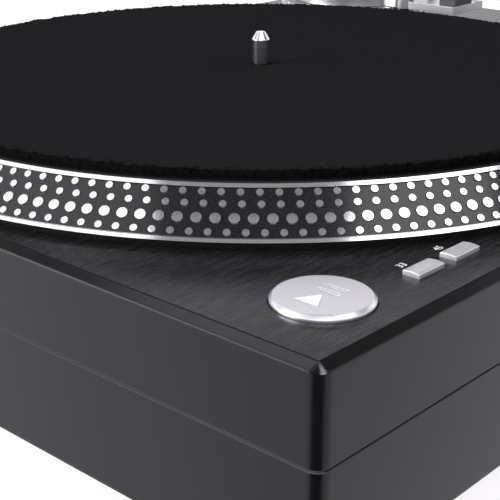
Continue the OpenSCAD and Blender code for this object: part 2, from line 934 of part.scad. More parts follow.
module lamp_window(grow) {
    translate([window_in - grow, -window_w / 2 - grow, plate_z + window_low - grow])
        cube([strobe_r, window_w + 2 * grow, window_h + 2 * grow]);
}

module strobe_housing() {
    color("#2a2b2d") at_strobe() difference() {
        union() {
            post(0, 0, strobe_r, plate_z, plate_z + strobe_h);
            post(0, 0, strobe_r + strobe_flange, plate_z, plate_z + strobe_flange_h);
        }
        lamp_window(0);
        post(0, 0, power_shaft_r + run_gap, plate_z - cut, plate_z + strobe_h + cut);
    }
}

module strobe_lens() {
    color("#a01818") at_strobe() intersection() {
        lamp_window(-run_gap);
        post(0, 0, strobe_r - seat_gap, plate_z, plate_z + strobe_h);
    }
}

module power_switch() {
    color("#303236") translate([strobe_x, strobe_y, 0]) difference() {
        block(power_case.x, power_case.y, deck_low - power_case.z, deck_low);
        post(0, 0, power_shaft_r + run_gap, power_shaft_low, deck_low + cut);
    }
}

module power_knob() {
    foot = plate_z + strobe_h + seat_gap;
    color("#b9bcbf") at_strobe() difference() {
        union() {
            post(0, 0, knob_r, foot, foot + knob_top_h - knob_edge);
            translate([0, 0, foot + knob_top_h - knob_edge])
                cylinder(r1 = knob_r, r2 = knob_r - knob_edge, h = knob_edge);
            post(0, 0, power_shaft_r, power_shaft_low, foot);
        }
        for (a = [0 : 20 : 340]) rotate(a)
            post(knob_r + flute_out, 0, flute_r, foot - cut, foot + knob_top_h + cut);
        translate([mark_from, -mark_w / 2, foot + knob_top_h - mark_depth]) cube([knob_r, mark_w, cut]);
    }
}

// Power supply

module power_transformer() {
    color("#6b6e72") translate([core_x, supply_y, 0]) {
        block(core_w, core_d, floor_z, floor_z + core_h);
        block(winding_w, winding_d, floor_z + winding_in, floor_z + core_h - winding_in);
    }
}

module power_board() {
    top = supply_z + board_t;
    color("#1d5c3a") {
        difference() {
            translate([supply_x, supply_y, 0]) block(supply_w, supply_d, supply_z, top);
            for (p = supply_posts) post(p.x, p.y, board_screw_r + screw_gap, supply_z - cut, top + cut);
        }
        for (n = [-1, 1]) post(supply_x + n * cap_x, supply_y + cap_y, cap_r, supply_z, top + cap_h);
        translate([supply_x, supply_y - sink_y, 0]) block(sink.x, sink.y, supply_z, top + sink.z);
    }
}

// Sockets at the back

module rear_panel() {
    color("#8d9092") difference() {
        pocket_outline(pocket_w + 2 * pocket_wall, pocket_h + 2 * pocket_wall, pocket_y - panel_t, pocket_y);
        for (x = phono_x)
            rod_y(x, pocket_y - panel_t - cut, pocket_y + cut, pocket_z, phono_back_r + screw_gap);
        rod_y(ground_x, pocket_y - panel_t - cut, pocket_y + cut, pocket_z, ground_r + screw_gap);
        translate([inlet_x - inlet_case.x / 2 - screw_gap, pocket_y - panel_t - cut,
            pocket_z - inlet_case.y / 2 - screw_gap])
            cube([inlet_case.x + 2 * screw_gap, panel_t + 2 * cut, inlet_case.y + 2 * screw_gap]);
    }
}

module phono_sockets() {
    face = pocket_y + phono_flange_t;
    color("#c9a94e") for (x = phono_x) difference() {
        union() {
            rod_y(x, pocket_y - phono_back_l, pocket_y, pocket_z, phono_back_r);
            rod_y(x, pocket_y, face, pocket_z, phono_flange_r);
            rod_y(x, face, face + phono_l, pocket_z, phono_r);
        }
        rod_y(x, face - phono_flange_t / 2, face + phono_l + cut, pocket_z, phono_pin_r);
    }
}

module ground_post() {
    color("silver") {
        rod_y(ground_x, pocket_y - ground_back, pocket_y + ground_l, pocket_z, ground_r);
        rod_y(ground_x, pocket_y - panel_t - ground_head_t, pocket_y - panel_t, pocket_z, 2 * ground_r);
    }
}

module ground_nut() {
    color("#c9a94e") difference() {
        rod_y(ground_x, pocket_y + seat_gap, pocket_y + seat_gap + nut_l, pocket_z, nut_r);
        rod_y(ground_x, pocket_y, pocket_y + nut_l + cut, pocket_z, ground_r + run_gap);
        for (a = [0 : 30 : 330]) translate([ground_x, 0, pocket_z]) rotate([0, a, 0])
            rod_y(nut_r + knurl_out, pocket_y, pocket_y + nut_l + cut, 0, knurl_r);
    }
}

// The inlet's socket has two round ends and two pins
module mains_inlet() {
    face = pocket_y + inlet_flange_t;
    back = pocket_y - inlet_depth;
    ends = [inlet_x - inlet_pitch / 2, inlet_x + inlet_pitch / 2];
    color("#18181a") {
        difference() {
            union() {
                translate([inlet_x - inlet_flange.x / 2, pocket_y, pocket_z - inlet_flange.y / 2])
                    cube([inlet_flange.x, inlet_flange_t, inlet_flange.y]);
                translate([inlet_x - inlet_case.x / 2, back, pocket_z - inlet_case.y / 2])
                    cube([inlet_case.x, inlet_depth, inlet_case.y]);
            }
            for (x = ends) rod_y(x, back + inlet_floor, face + cut, pocket_z, inlet_r);
            translate([ends[0], back + inlet_floor, pocket_z - inlet_r])
                cube([inlet_pitch, face - back, 2 * inlet_r]);
        }
        for (x = ends) rod_y(x, back, back + inlet_floor + inlet_pin_l, pocket_z, inlet_pin_r);
    }
}

// Tonearm: what stays on the deck

module arm_mount() {
    color("#6f7276") translate([arm_x, arm_y, 0]) difference() {
        union() {
            post(0, 0, mount_r, mount_low, ring_top);
            post(0, 0, mount_flange_r, plate_z, plate_z + mount_flange_t);
        }
        post(0, 0, column_r + run_gap, mount_low - cut, ring_top + cut);
    }
}

module height_ring() {
    color("#9b9ea1") translate([arm_x, arm_y, ring_z]) difference() {
        tube(ring_r, mount_r + seat_gap, ring_top - ring_z);
        for (a = [0 : 12 : 348]) rotate(a)
            post(ring_r + flute_out, 0, flute_r, -cut, ring_top - ring_z + cut);
    }
}

// Tonearm: the base that rises when the height is set

module lift_place() {
    rotate(-lift_dir) translate([lift_at, 0, 0]) children();
}

module arm_base() {
    color("#a9acaf") along_arm() difference() {
        union() {
            post(0, 0, column_r, column_low, base_top);
            post(0, 0, base_r, base_low, base_top);
            post(skate_u, skate_v, skate_r + skate_lip, base_low, base_top);
            translate([0, -bracket_in, base_low]) cube([bracket_l, bracket_in + bracket_out, base_t]);
            lift_place() post(0, 0, lift_sleeve_r, base_low, base_top + lift_sleeve_h);
            translate([cue_at - cue_block.x / 2, bracket_out - cue_block.y, base_top - cut])
                cube([cue_block.x, cue_block.y, cue_block.z + cut]);
        }
        post(0, 0, swing_r + run_gap, swing_low - seat_gap, base_top + cut);
        post(skate_u, skate_v, skate_shaft_r + run_gap, base_low - cut, base_top + cut);
        lift_place() post(0, 0, lift_post_r + run_gap, base_low - lift_post_below - cut,
            base_top + lift_sleeve_h + cut);
        rod_y(cue_at, bracket_out - cue_shaft_l, bracket_out + cut, cue_z, cue_shaft_r + run_gap);
    }
}

// The rest is open on the side that the arm swings to
module arm_rest() {
    seat = arm_z - tube_r - seat_gap;
    color("#2a2b2d") along_arm() translate([rest_at - rest_l / 2, 0, 0]) difference() {
        union() {
            translate([0, -rest_in, base_top]) cube([rest_l, rest_in + rest_wall[1], seat - base_top]);
            translate([0, rest_wall[0], base_top])
                cube([rest_l, rest_wall[1] - rest_wall[0], clip_z + rest_ear_h - base_top]);
        }
        translate([(rest_l - clip_w) / 2 - seat_gap, 0, clip_z - rest_ear_h])
            cube([clip_w + 2 * seat_gap, rest_wall[1] + cut, 3 * rest_ear_h]);
        rod_x(-cut, rest_l + cut, (rest_wall[0] + rest_wall[1]) / 2, clip_z, clip_pin_r + run_gap);
    }
}

module arm_clip() {
    mid = (rest_wall[0] + rest_wall[1]) / 2;
    color("#2a2b2d") along_arm() translate([rest_at, mid, clip_z]) {
        rod_x(-rest_l / 2, rest_l / 2, 0, 0, clip_pin_r);
        rod_x(-clip_w / 2, clip_w / 2, 0, 0, clip_barrel_r);
        block(clip_w, 2 * clip_t, 0, clip_l);
    }
}

module anti_skate_dial() {
    color("#a9acaf") along_arm() translate([skate_u, skate_v, 0]) difference() {
        union() {
            post(0, 0, skate_r, base_top + seat_gap, base_top + seat_gap + skate_h);
            post(0, 0, skate_shaft_r, base_low, base_top + seat_gap);
        }
        for (a = [0 : 20 : 340]) rotate(a)
            post(skate_r + knurl_out, 0, knurl_r, base_top, base_top + skate_h + cut);
    }
}

module cue_lever() {
    color("#b9bcbf") along_arm() translate([cue_at, bracket_out, cue_z]) {
        rod_y(0, -cue_shaft_l, seat_gap, 0, cue_shaft_r);
        translate([0, seat_gap, 0]) {
            rod_y(0, 0, cue_lever_t, 0, cue_boss_r);
            translate([0, 0, -cue_lever_h / 2]) cube([cue_lever_l, cue_lever_t, cue_lever_h]);
            rod_y(cue_lever_l, 0, cue_tip_l, 0, cue_tip_r);
        }
    }
}

module lift_rail() {
    color("#2a2b2d") along_arm() {
        translate([0, 0, lift_z]) rotate(lift_from) rotate_extrude(angle = lift_to - lift_from)
            translate([lift_at - lift_w / 2, 0]) square([lift_w, lift_t]);
        lift_place() post(0, 0, lift_post_r, base_low - lift_post_below, lift_z + lift_t / 2);
    }
}

// Tonearm: what swings, and what tilts in it

module gimbal_ring() {
    inner = gimbal_r - gimbal_wall;
    color("#b9bcbf") along_arm() difference() {
        union() {
            rod_x(-gimbal_l / 2, gimbal_l / 2, 0, arm_z, gimbal_r);
            post(0, 0, gimbal_foot_r, base_top + seat_gap, arm_z - inner - gimbal_wall / 2);
            post(0, 0, swing_r, swing_low, base_top + seat_gap);
        }
        rod_x(-gimbal_l, gimbal_l, 0, arm_z, inner);
        rod_y(0, -gimbal_r - cut, gimbal_r + cut, arm_z, pivot_r + screw_gap);
    }
}

module pivot_screws() {
    inner = gimbal_r - gimbal_wall;
    color("silver") along_arm() for (s = [0, 180]) rotate(s) {
        rod_y(0, inner - pivot_head, gimbal_r + pivot_head, arm_z, pivot_r);
        rod_y(0, block_r - pivot_tip_depth, inner - pivot_head, arm_z, pivot_tip_r);
    }
}

module arm_pivot_block() {
    color("#8d9092") along_arm() difference() {
        rod_x(-block_l / 2, block_l / 2, 0, arm_z, block_r);
        rod_x(block_l / 2 - socket_l, block_l / 2 + cut, 0, arm_z, tube_r + run_gap);
        rod_x(-block_l / 2 - cut, socket_l - block_l / 2, 0, arm_z, rod_r + run_gap);
        for (s = [0, 180]) rotate(s)
            rod_y(0, block_r - pivot_tip_depth - screw_end, block_r + cut, arm_z, pivot_tip_r + run_gap);
    }
}

// Each straight run of the tube laps a little way over the bends, which are a hair thinner
module tube_run(from, heading, before, l, r) {
    translate([from[0], from[1], arm_z]) rotate(heading) rod_x(-before, l, 0, 0, r);
}

module tube_bend(centre, from, angle, r) {
    translate([centre[0], centre[1], arm_z]) rotate(from) rotate_extrude(angle = angle)
        translate([bend_r, 0]) circle(r - lap_step);
}

module tube_path(r, past) {
    tube_start = block_l / 2 - socket_l;
    tube_run([tube_start, 0], 0, past, bend_u - tube_start + lap, r);
    tube_bend([bend_u, bend_r], -90, bend_angle, r);
    tube_run(slant_start, bend_angle, lap, slant_l + lap, r);
    tube_bend(bend_centre, 90 - offset_angle, bend_angle + offset_angle, r);
    tube_run(neck_start, -offset_angle, lap, neck_l + past, r);
}

module arm_tube() {
    color("#c4c6c8") along_arm() difference() {
        tube_path(tube_r, 0);
        tube_path(tube_r - tube_wall, cut);
    }
}

module counterweight_rod() {
    rod_end = socket_l - block_l / 2;
    color("silver") along_arm() rod_x(rod_end - rod_l, rod_end, 0, arm_z, rod_r);
}

module counterweight() {
    back = -weight_at - weight_l;
    color("#a9acaf") along_arm() difference() {
        union() {
            rod_x(back, back + weight_step, 0, arm_z, weight_r - weight_step);
            rod_x(back + weight_step, -weight_at, 0, arm_z, weight_r);
            rod_x(-weight_at, weight_hub_l - weight_at, 0, arm_z, weight_hub_r);
        }
        rod_x(back - cut, weight_hub_l - weight_at + cut, 0, arm_z, rod_r + run_gap);
    }
}

module force_dial() {
    color("#1f2022") along_arm() difference() {
        rod_x(seat_gap - weight_at, seat_gap + dial_l - weight_at, 0, arm_z, dial_r);
        rod_x(-weight_at, weight_hub_l + cut - weight_at, 0, arm_z, weight_hub_r + run_gap);
    }
}

// Headshell

module cart_screw_places() {
    for (s = [-1, 1]) translate([cart_screw_at, s * cart_screw_step / 2, 0]) children();
}

module headshell_collar() {
    color("#b9bcbf") along_head() difference() {
        rod_x(-collar_l, shell_flange_t, 0, arm_z, collar_r);
        rod_x(-collar_l - cut, cut, 0, arm_z, tube_r + run_gap);
        rod_x(-seat_gap, shell_flange_t + cut, 0, arm_z, shell_flange_r + seat_gap);
        for (a = [0 : 30 : 330]) translate([0, 0, arm_z]) rotate([a, 0, 0])
            rod_x(-collar_l - cut, 0, collar_r + knurl_out, 0, knurl_r);
    }
}

module headshell() {
    half = shell_w / 2;
    round_x = shell_l - shell_corner;
    round_y = half - shell_corner;
    color("#8d9092") along_head() difference() {
        union() {
            rod_x(-plug_l, 0, 0, arm_z, tube_r - tube_wall - screw_gap);
            rod_x(0, shell_flange_t, 0, arm_z, shell_flange_r);
            translate([0, 0, arm_z - shell_t / 2]) linear_extrude(shell_t)
                polygon([[shell_flange_t / 2, -tube_r], [shell_neck, -half], [round_x, -half],
                    [shell_l, -round_y], [shell_l, round_y], [round_x, half], [shell_neck, half],
                    [shell_flange_t / 2, tube_r]]);
            translate([round_x - finger.x, half - cut, arm_z - shell_t / 2]) cube(finger);
        }
        cart_screw_places() post(0, 0, cart_screw_r + screw_gap, arm_z - shell_t, arm_z + shell_t);
    }
}

module headshell_screws() {
    color("silver") along_head() cart_screw_places() {
        post(0, 0, cart_head_r, arm_z + shell_t / 2, arm_z + shell_t / 2 + cart_head_h);
        post(0, 0, cart_screw_r, arm_z - shell_t / 2 - cart_screw_depth, arm_z + shell_t / 2);
    }
}

module cartridge() {
    color("#1c1c1e") along_head() difference() {
        translate([cart_from, -cart_w / 2, cart_low]) cube([cart_l, cart_w, cart_h]);
        cart_screw_places()
            post(0, 0, cart_screw_r + screw_gap, arm_z - shell_t / 2 - cart_screw_depth - screw_end, arm_z);
        translate([cart_from + cart_l, -cart_w, cart_low]) rotate([0, cart_slope, 0])
            translate([0, 0, -cart_h]) cube([cart_l, 2 * cart_w, cart_h]);
    }
}

module stylus() {
    tip = head_len;
    color("#c23a1e") along_head() {
        translate([tip - stylus_l / 3, 0, 0]) block(stylus_l, stylus_w, cart_low - stylus_h, cart_low);
        translate([tip, 0, stylus_z]) cylinder(r1 = stylus_tip_r, r2 = cantilever_r, h = cart_low - stylus_z);
    }
}

upper_plinth();
lower_plinth();
top_plate();
foot_bodies();
foot_pads();
foot_bolts();
plinth_screws();
motor_frame();
motor_screws();
stator_board();
stator_coils();
bearing_housing();
thrust_pad();
control_board();
tact_switches();
board_screws();
power_transformer();
power_board();
rear_panel();
phono_sockets();
mains_inlet();
ground_post();
ground_nut();
strobe_housing();
strobe_lens();
power_switch();
power_knob();
fader_plate();
fader_body();
pitch_carriage();
pitch_knob();
platter();
slipmat();
spindle();
rotor_magnet();
start_stop_button();
speed_button_33();
speed_button_45();
arm_mount();
height_ring();
arm_base();
arm_rest();
arm_clip();
anti_skate_dial();
cue_lever();
lift_rail();
gimbal_ring();
pivot_screws();
arm_pivot_block();
arm_tube();
counterweight_rod();
counterweight();
force_dial();
headshell_collar();
headshell();
headshell_screws();
cartridge();
stylus();
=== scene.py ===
"""Dresses the turntable's CAD frame: finishes, felt slipmat, rim dots, printed scales and a studio."""

import math

import bmesh
import bpy
from bpy.props import FloatProperty, FloatVectorProperty, PointerProperty
from mathutils import Matrix, Vector


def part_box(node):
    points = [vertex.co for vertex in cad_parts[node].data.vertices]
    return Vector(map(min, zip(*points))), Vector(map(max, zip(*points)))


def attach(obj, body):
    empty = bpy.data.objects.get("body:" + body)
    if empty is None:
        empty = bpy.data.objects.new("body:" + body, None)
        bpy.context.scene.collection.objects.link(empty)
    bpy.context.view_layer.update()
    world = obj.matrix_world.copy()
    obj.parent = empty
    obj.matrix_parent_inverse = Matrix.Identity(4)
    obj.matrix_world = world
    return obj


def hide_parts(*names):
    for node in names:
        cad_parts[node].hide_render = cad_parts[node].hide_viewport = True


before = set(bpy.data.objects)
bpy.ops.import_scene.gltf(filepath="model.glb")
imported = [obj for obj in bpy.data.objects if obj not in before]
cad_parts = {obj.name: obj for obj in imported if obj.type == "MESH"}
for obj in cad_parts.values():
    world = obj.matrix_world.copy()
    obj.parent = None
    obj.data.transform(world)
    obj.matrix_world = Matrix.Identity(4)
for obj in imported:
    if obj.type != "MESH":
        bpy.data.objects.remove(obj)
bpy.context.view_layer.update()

bl_info = {
    "name": "Turntable finish",
    "version": (1, 0, 0),
    "blender": (4, 5, 0),
    "location": "View3D > Sidebar > Turntable",
    "description": "Dresses the turntable's frame with its finishes, felt, dots and printed scales",
    "category": "Object",
}

MM = 0.001
UP = Vector((0, 0, 1))
SAME_LEVEL = 0.01 * MM

# Noise seldom leaves this range
FAINT, STRONG = 0.3, 0.7

# Fixed colours of small or hidden pieces, of the painted highlight at the border's corners and of the painted
# light in the seam
SPINDLE_STEEL = (0.70, 0.70, 0.71)
SCREW_STEEL = (0.62, 0.62, 0.63)
BRASS = (0.78, 0.58, 0.25)
COPPER = (0.72, 0.33, 0.14)
BOARD_GREEN = (0.02, 0.15, 0.07)
CORE_IRON = (0.22, 0.22, 0.23)
PALE_PLASTIC = (0.70, 0.68, 0.60)
STYLUS_RED = (0.55, 0.06, 0.03)
CORNER_HIGHLIGHT_PAINT = (0.22, 0.217, 0.225)
SEAM_PAINTED_LIGHT_ENDS = (0.045, 0.044, 0.047)
SEAM_PAINTED_LIGHT_SIDES = (0.105, 0.103, 0.109)


# Places that come from the frame

def middle(node):
    """The centre of a CAD node's box."""
    low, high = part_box(node)
    return (low + high) / 2


def top(node):
    """The height of a CAD node's highest point."""
    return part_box(node)[1].z


def radius_at(node, level):
    """How far a round CAD node reaches from its axis at one height."""
    axis = middle(node)
    points = [vert.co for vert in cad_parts[node].data.vertices]
    return max((point - axis).xy.length for point in points if abs(point.z - level) < SAME_LEVEL)


def on_plan(point):
    """A point brought down to the floor, as the axis of a pattern."""
    return (point.x, point.y, 0)


SPINDLE = middle("platter")
RIM_LOW, RIM_TOP = (corner.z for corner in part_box("platter"))
RIM_FOOT = radius_at("platter", RIM_LOW)
RIM_LIP = radius_at("platter", RIM_TOP)
RIM_SLOPE = Vector((RIM_LIP - RIM_FOOT, 0, RIM_TOP - RIM_LOW))
MAT_RADIUS = radius_at("slipmat", top("slipmat"))
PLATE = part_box("top_plate")[1]
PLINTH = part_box("upper_plinth")[1]
BORDER_DROP = 1.5 * MM
SEAM = top("lower_plinth")
SEAM_HEIGHT = 0.8 * MM
START = middle("start_stop_button")
START_TOP = top("start_stop_button")
ARM = middle("height_ring")


# Settings

def colour_setting(name, description, default):
    """A colour that a user may change."""
    return FloatVectorProperty(
        name=name, description=description, subtype="COLOR", default=default, min=0, max=1)


def length_setting(name, description, default, least=0.0):
    """A length that a user may change."""
    return FloatProperty(name=name, description=description, unit="LENGTH", default=default, min=least)


def glow_setting(name, description, default):
    """A brightness that a user may change."""
    return FloatProperty(name=name, description=description, default=default, min=0)


class FinishColours(bpy.types.PropertyGroup):
    """Colours of the painted, moulded and metal surfaces."""

    plinth: colour_setting("Plinth", "Satin paint of the two plinth shells", (0.0026, 0.0025, 0.0028))
    plate: colour_setting("Top plate", "Black anodised and brushed top plate", (0.058, 0.056, 0.0603))
    band: colour_setting("Rim band", "Black paint between the rim's bright rings", (0.005, 0.0049, 0.0054))
    felt: colour_setting("Felt", "Fibres of the slipmat", (0.0120, 0.0117, 0.0128))
    bright: colour_setting("Bright metal", "Polished rings, dots and arm tube", (0.90, 0.90, 0.91))
    silver: colour_setting("Satin silver", "Buttons, knobs and dials", (0.88, 0.875, 0.90))
    arm: colour_setting("Arm metal", "Anodised pieces of the tonearm", (0.46, 0.465, 0.48))
    black: colour_setting("Black plastic", "Moulded black pieces", (0.018, 0.018, 0.020))
    ink: colour_setting("White print", "Printed numbers and scale marks", (0.93, 0.93, 0.93))
    lens: colour_setting("Red lens", "Window of the strobe lamp", (0.55, 0.015, 0.012))


class SlipmatSizes(bpy.types.PropertyGroup):
    """Sizes of the felt slipmat."""

    hole: length_setting("Hole", "Radius of the hole for the spindle", 3.9 * MM, 3.6 * MM)
    edge: length_setting("Edge", "Rounding of the cut edge", 0.7 * MM)
    fray: length_setting("Fray", "Raggedness of the cut edge", 1.1 * MM)


class RimDotSizes(bpy.types.PropertyGroup):
    """Sizes of the dots round the platter's rim."""

    small: length_setting("Small dot", "Diameter in the three fine rows", 2.3 * MM, 0.5 * MM)
    large: length_setting("Large dot", "Diameter in the bold row", 3.4 * MM, 0.5 * MM)
    depth: length_setting("Depth", "Depth of a dot from its face into the painted band", 0.55 * MM, 0.1 * MM)


class PrintSizes(bpy.types.PropertyGroup):
    """Sizes of the printed numbers and marks."""

    speed_digit: length_setting("Speed digits", "Letter size of 33 and 45", 3.4 * MM, 1 * MM)
    scale_digit: length_setting("Scale digits", "Letter size on the pitch scale", 3.2 * MM, 1 * MM)
    dial_digit: length_setting("Dial digits", "Letter size on the anti-skate dial", 2.2 * MM, 1 * MM)
    thickness: length_setting("Thickness", "Thickness of the ink", 0.05 * MM, 0.01 * MM)
    mark: length_setting("Mark", "Width of a scale mark", 0.45 * MM, 0.1 * MM)


class StudioSettings(bpy.types.PropertyGroup):
    """Camera, lights and floor."""

    lens: FloatProperty(
        name="Lens", description="Focal length", unit="CAMERA", default=85.67, min=10)
    floor: colour_setting("Floor", "Colour of the pale floor", (0.2, 0.2, 0.202))
    card: length_setting("Dark card", "Half the diagonal of the card that the front corner mirrors", 0.3)
    height: length_setting("Softbox height", "Height of the softboxes over the platter", 1.0, 0.3)
    glow: glow_setting("Softbox glow", "Brightness of a softbox's face", 1.3)
    strip: glow_setting("Back glow", "Brightness of the low softbox at the back left", 10.0)
    front: glow_setting("Front glow", "Brightness of the softbox over the camera", 2.6)
    sky: glow_setting("Overhead", "Brightness of the room overhead", 0.28)
    horizon: glow_setting("Backdrop", "Brightness of the room round the table", 1.3)


class TurntableSettings(bpy.types.PropertyGroup):
    """All settings of the turntable's finish."""

    colours: PointerProperty(type=FinishColours)
    slipmat: PointerProperty(type=SlipmatSizes)
    dots: PointerProperty(type=RimDotSizes)
    print: PointerProperty(type=PrintSizes)
    studio: PointerProperty(type=StudioSettings)


# Node trees

def add(tree, kind, inputs=None, **options):
    """Adds a node; inputs maps sockets to values or to the outputs of other nodes."""
    node = tree.nodes.new(kind)
    for name, value in options.items():
        setattr(node, name, value)
    for socket, value in (inputs or {}).items():
        if isinstance(value, bpy.types.NodeSocket):
            tree.links.new(value, node.inputs[socket])
        else:
            node.inputs[socket].default_value = value
    return node


def reckon(tree, operation, first, second=0.0):
    """The result of one sum on two numbers."""
    return add(tree, "ShaderNodeMath", {0: first, 1: second}, operation=operation).outputs[0]


def times(tree, first, *others):
    """The product of several numbers, such as masks that hold together."""
    for other in others:
        first = reckon(tree, "MULTIPLY", first, other)
    return first


def vectors(tree, operation, first, second=(0, 0, 0)):
    """The outputs of one sum on two directions."""
    return add(tree, "ShaderNodeVectorMath", {0: first, 1: second}, operation=operation).outputs


def between(tree, value, low, high):
    """One where value lies between low and high, and zero elsewhere."""
    return times(tree, reckon(tree, "GREATER_THAN", value, low), reckon(tree, "LESS_THAN", value, high))


def span(tree, value, low, high, start=FAINT, end=STRONG):
    """Value spread from start..end to low..high, and held there beyond."""
    return add(tree, "ShaderNodeMapRange", {
        "Value": value, "From Min": start, "From Max": end, "To Min": low, "To Max": high}).outputs[0]


def rise(tree, value, start, end):
    """Zero up to start, and one from end on."""
    return span(tree, value, 0.0, 1.0, start, end)


def fall(tree, value, start=FAINT, end=STRONG):
    """One up to start, and zero from end on."""
    return span(tree, value, 1.0, 0.0, start, end)


def ramp(tree, value, *stops):
    """Colours from a value, by stops of position and colour."""
    node = add(tree, "ShaderNodeValToRGB", {"Fac": value})
    elements = node.color_ramp.elements
    for index, (position, colour) in enumerate(stops):
        element = elements[index] if index < 2 else elements.new(position)
        element.position = position
        element.color = (*colour, 1)
    return node.outputs["Color"]


def shade(colour, share):
    """A colour made lighter or darker."""
    return tuple(min(1.0, channel * share) for channel in colour)


def mottle(tree, tone, colour, dark, light):
    """A colour that runs with a tone from a dark share of itself to a light one."""
    return ramp(tree, tone, (FAINT, shade(colour, dark)), (STRONG, shade(colour, light)))


def blend(tree, mask, first, second):
    """First colour where the mask is zero, second where it is one."""
    node = add(tree, "ShaderNodeMix", {0: mask}, data_type="RGBA")
    for socket, value in ((6, first), (7, second)):
        if isinstance(value, bpy.types.NodeSocket):
            tree.links.new(value, node.inputs[socket])
        else:
            node.inputs[socket].default_value = (*value, 1)
    return node.outputs[2]


def steer(tree, mask, first, second):
    """First direction where the mask is zero, second where it is one."""
    return add(tree, "ShaderNodeMix", {0: mask, 4: first, 5: second}, data_type="VECTOR").outputs[1]


def choose(tree, mask, first, second):
    """First number where the mask is zero, second where it is one."""
    return add(tree, "ShaderNodeMix", {0: mask, 2: first, 3: second}, data_type="FLOAT").outputs[0]


def place(tree, origin=(0, 0, 0), turn=(0, 0, 0)):
    """Object coordinates with their zero moved to origin, and turned."""
    coordinates = add(tree, "ShaderNodeTexCoord").outputs["Object"]
    return add(tree, "ShaderNodeMapping", {
        "Vector": coordinates, "Location": origin, "Rotation": turn}, vector_type="TEXTURE").outputs[0]


def reach(tree, vector):
    """Distance of each point from the Z axis of the coordinates."""
    flat = vectors(tree, "MULTIPLY", vector, (1, 1, 0))[0]
    return vectors(tree, "LENGTH", flat)["Value"]


def height_of(tree, vector):
    """The Z of each point."""
    return add(tree, "ShaderNodeSeparateXYZ", {0: vector}).outputs[2]


def flat_normal(tree):
    """The direction that each face looks in."""
    return add(tree, "ShaderNodeNewGeometry").outputs["Normal"]


def upright(tree):
    """One on faces that stand upright, and zero on level ones."""
    return fall(tree, reckon(tree, "ABSOLUTE", height_of(tree, flat_normal(tree))))


def noise(tree, vector, scale=1.0, detail=3.0, roughness=0.55):
    """Cloudy values from 0 to 1."""
    return add(tree, "ShaderNodeTexNoise", {
        "Vector": vector, "Scale": scale, "Detail": detail, "Roughness": roughness}).outputs[0]


def bump(tree, height, distance, normal=None):
    """A normal that follows a height; distance is the relief's real depth."""
    inputs = {"Height": height, "Distance": distance}
    if normal is not None:
        inputs["Normal"] = normal
    return add(tree, "ShaderNodeBump", inputs).outputs[0]


# Effects that several finishes share

def scaled(tree, vector, size):
    """Coordinates counted in steps of size."""
    share = reckon(tree, "DIVIDE", 1.0, size)
    return add(tree, "ShaderNodeVectorMath", {0: vector, "Scale": share}, operation="SCALE").outputs[0]


def grain_effect(tree, given):
    """Tone and height of the fine grain of paint, cast metal or moulded plastic."""
    grains = scaled(tree, given["Vector"], given["Size"])
    return noise(tree, grains, scale=0.12, detail=4.0), noise(tree, grains, detail=2.0)


def brushed_effect(tree, given):
    """Tone and height of the lines left along X by a brush."""
    split = add(tree, "ShaderNodeSeparateXYZ", {0: given["Vector"]}).outputs
    steps = [reckon(tree, "DIVIDE", split[axis], given[size])
             for axis, size in enumerate(("Length", "Width", "Width"))]
    lines = add(tree, "ShaderNodeCombineXYZ", dict(enumerate(steps))).outputs[0]
    return noise(tree, lines, detail=4.0, roughness=0.7), noise(tree, lines, scale=2.3, detail=2.0)


def turned_effect(tree, given):
    """Tone and height of the rings left round the Z axis by a lathe."""
    run = reckon(tree, "ADD", reach(tree, given["Vector"]), height_of(tree, given["Vector"]))
    steps = reckon(tree, "DIVIDE", run, given["Pitch"])
    return [add(tree, "ShaderNodeTexNoise", {"W": steps, "Scale": 1.0, "Detail": detail},
                noise_dimensions="1D").outputs[0] for detail in (3.0, 1.0)]


def edge_effect(tree, given):
    """Rounded shading at sharp edges, and a mask of where they are."""
    rounded = add(tree, "ShaderNodeBevel", {"Radius": given["Radius"]}, samples=4).outputs[0]
    agreement = vectors(tree, "DOT_PRODUCT", rounded, flat_normal(tree))["Value"]
    return rounded, fall(tree, agreement, 0.8, 0.99)


def speck_effect(tree, given):
    """A mask of scattered specks of dust or lint."""
    steps = scaled(tree, given["Vector"], given["Size"])
    cells = add(tree, "ShaderNodeTexVoronoi", {"Vector": steps}).outputs
    chance = add(tree, "ShaderNodeSeparateColor", {0: cells["Color"]}).outputs[0]
    kept = reckon(tree, "LESS_THAN", chance, given["Amount"])
    return [times(tree, kept, fall(tree, cells["Distance"], 0.12, 0.25))]


# Each effect: its build function, its inputs and its outputs
EFFECTS = {
    "grain": (grain_effect, ("Vector", "Size"), ("Tone", "Height")),
    "brushed": (brushed_effect, ("Vector", "Length", "Width"), ("Tone", "Height")),
    "turned": (turned_effect, ("Vector", "Pitch"), ("Tone", "Height")),
    "edges": (edge_effect, ("Radius",), ("Normal", "Edge")),
    "specks": (speck_effect, ("Vector", "Size", "Amount"), ("Mask",)),
}


def effect_group(label, build, inputs, outputs):
    """The node group of a shared effect, with its named sockets."""
    tree = bpy.data.node_groups.new(label, "ShaderNodeTree")
    for side, sockets in (("INPUT", inputs), ("OUTPUT", outputs)):
        for socket in sockets:
            kind = "NodeSocketVector" if socket in ("Vector", "Normal") else "NodeSocketFloat"
            tree.interface.new_socket(socket, in_out=side, socket_type=kind)
    results = build(tree, tree.nodes.new("NodeGroupInput").outputs)
    add(tree, "NodeGroupOutput", dict(zip(outputs, results)))
    return tree


def use(tree, name, **inputs):
    """Places a shared effect in a material, building it the first time; gives its output sockets."""
    label = f"turntable_{name}"
    group = bpy.data.node_groups.get(label) or effect_group(label, *EFFECTS[name])
    return add(tree, "ShaderNodeGroup", inputs, node_tree=group).outputs


# Finishes

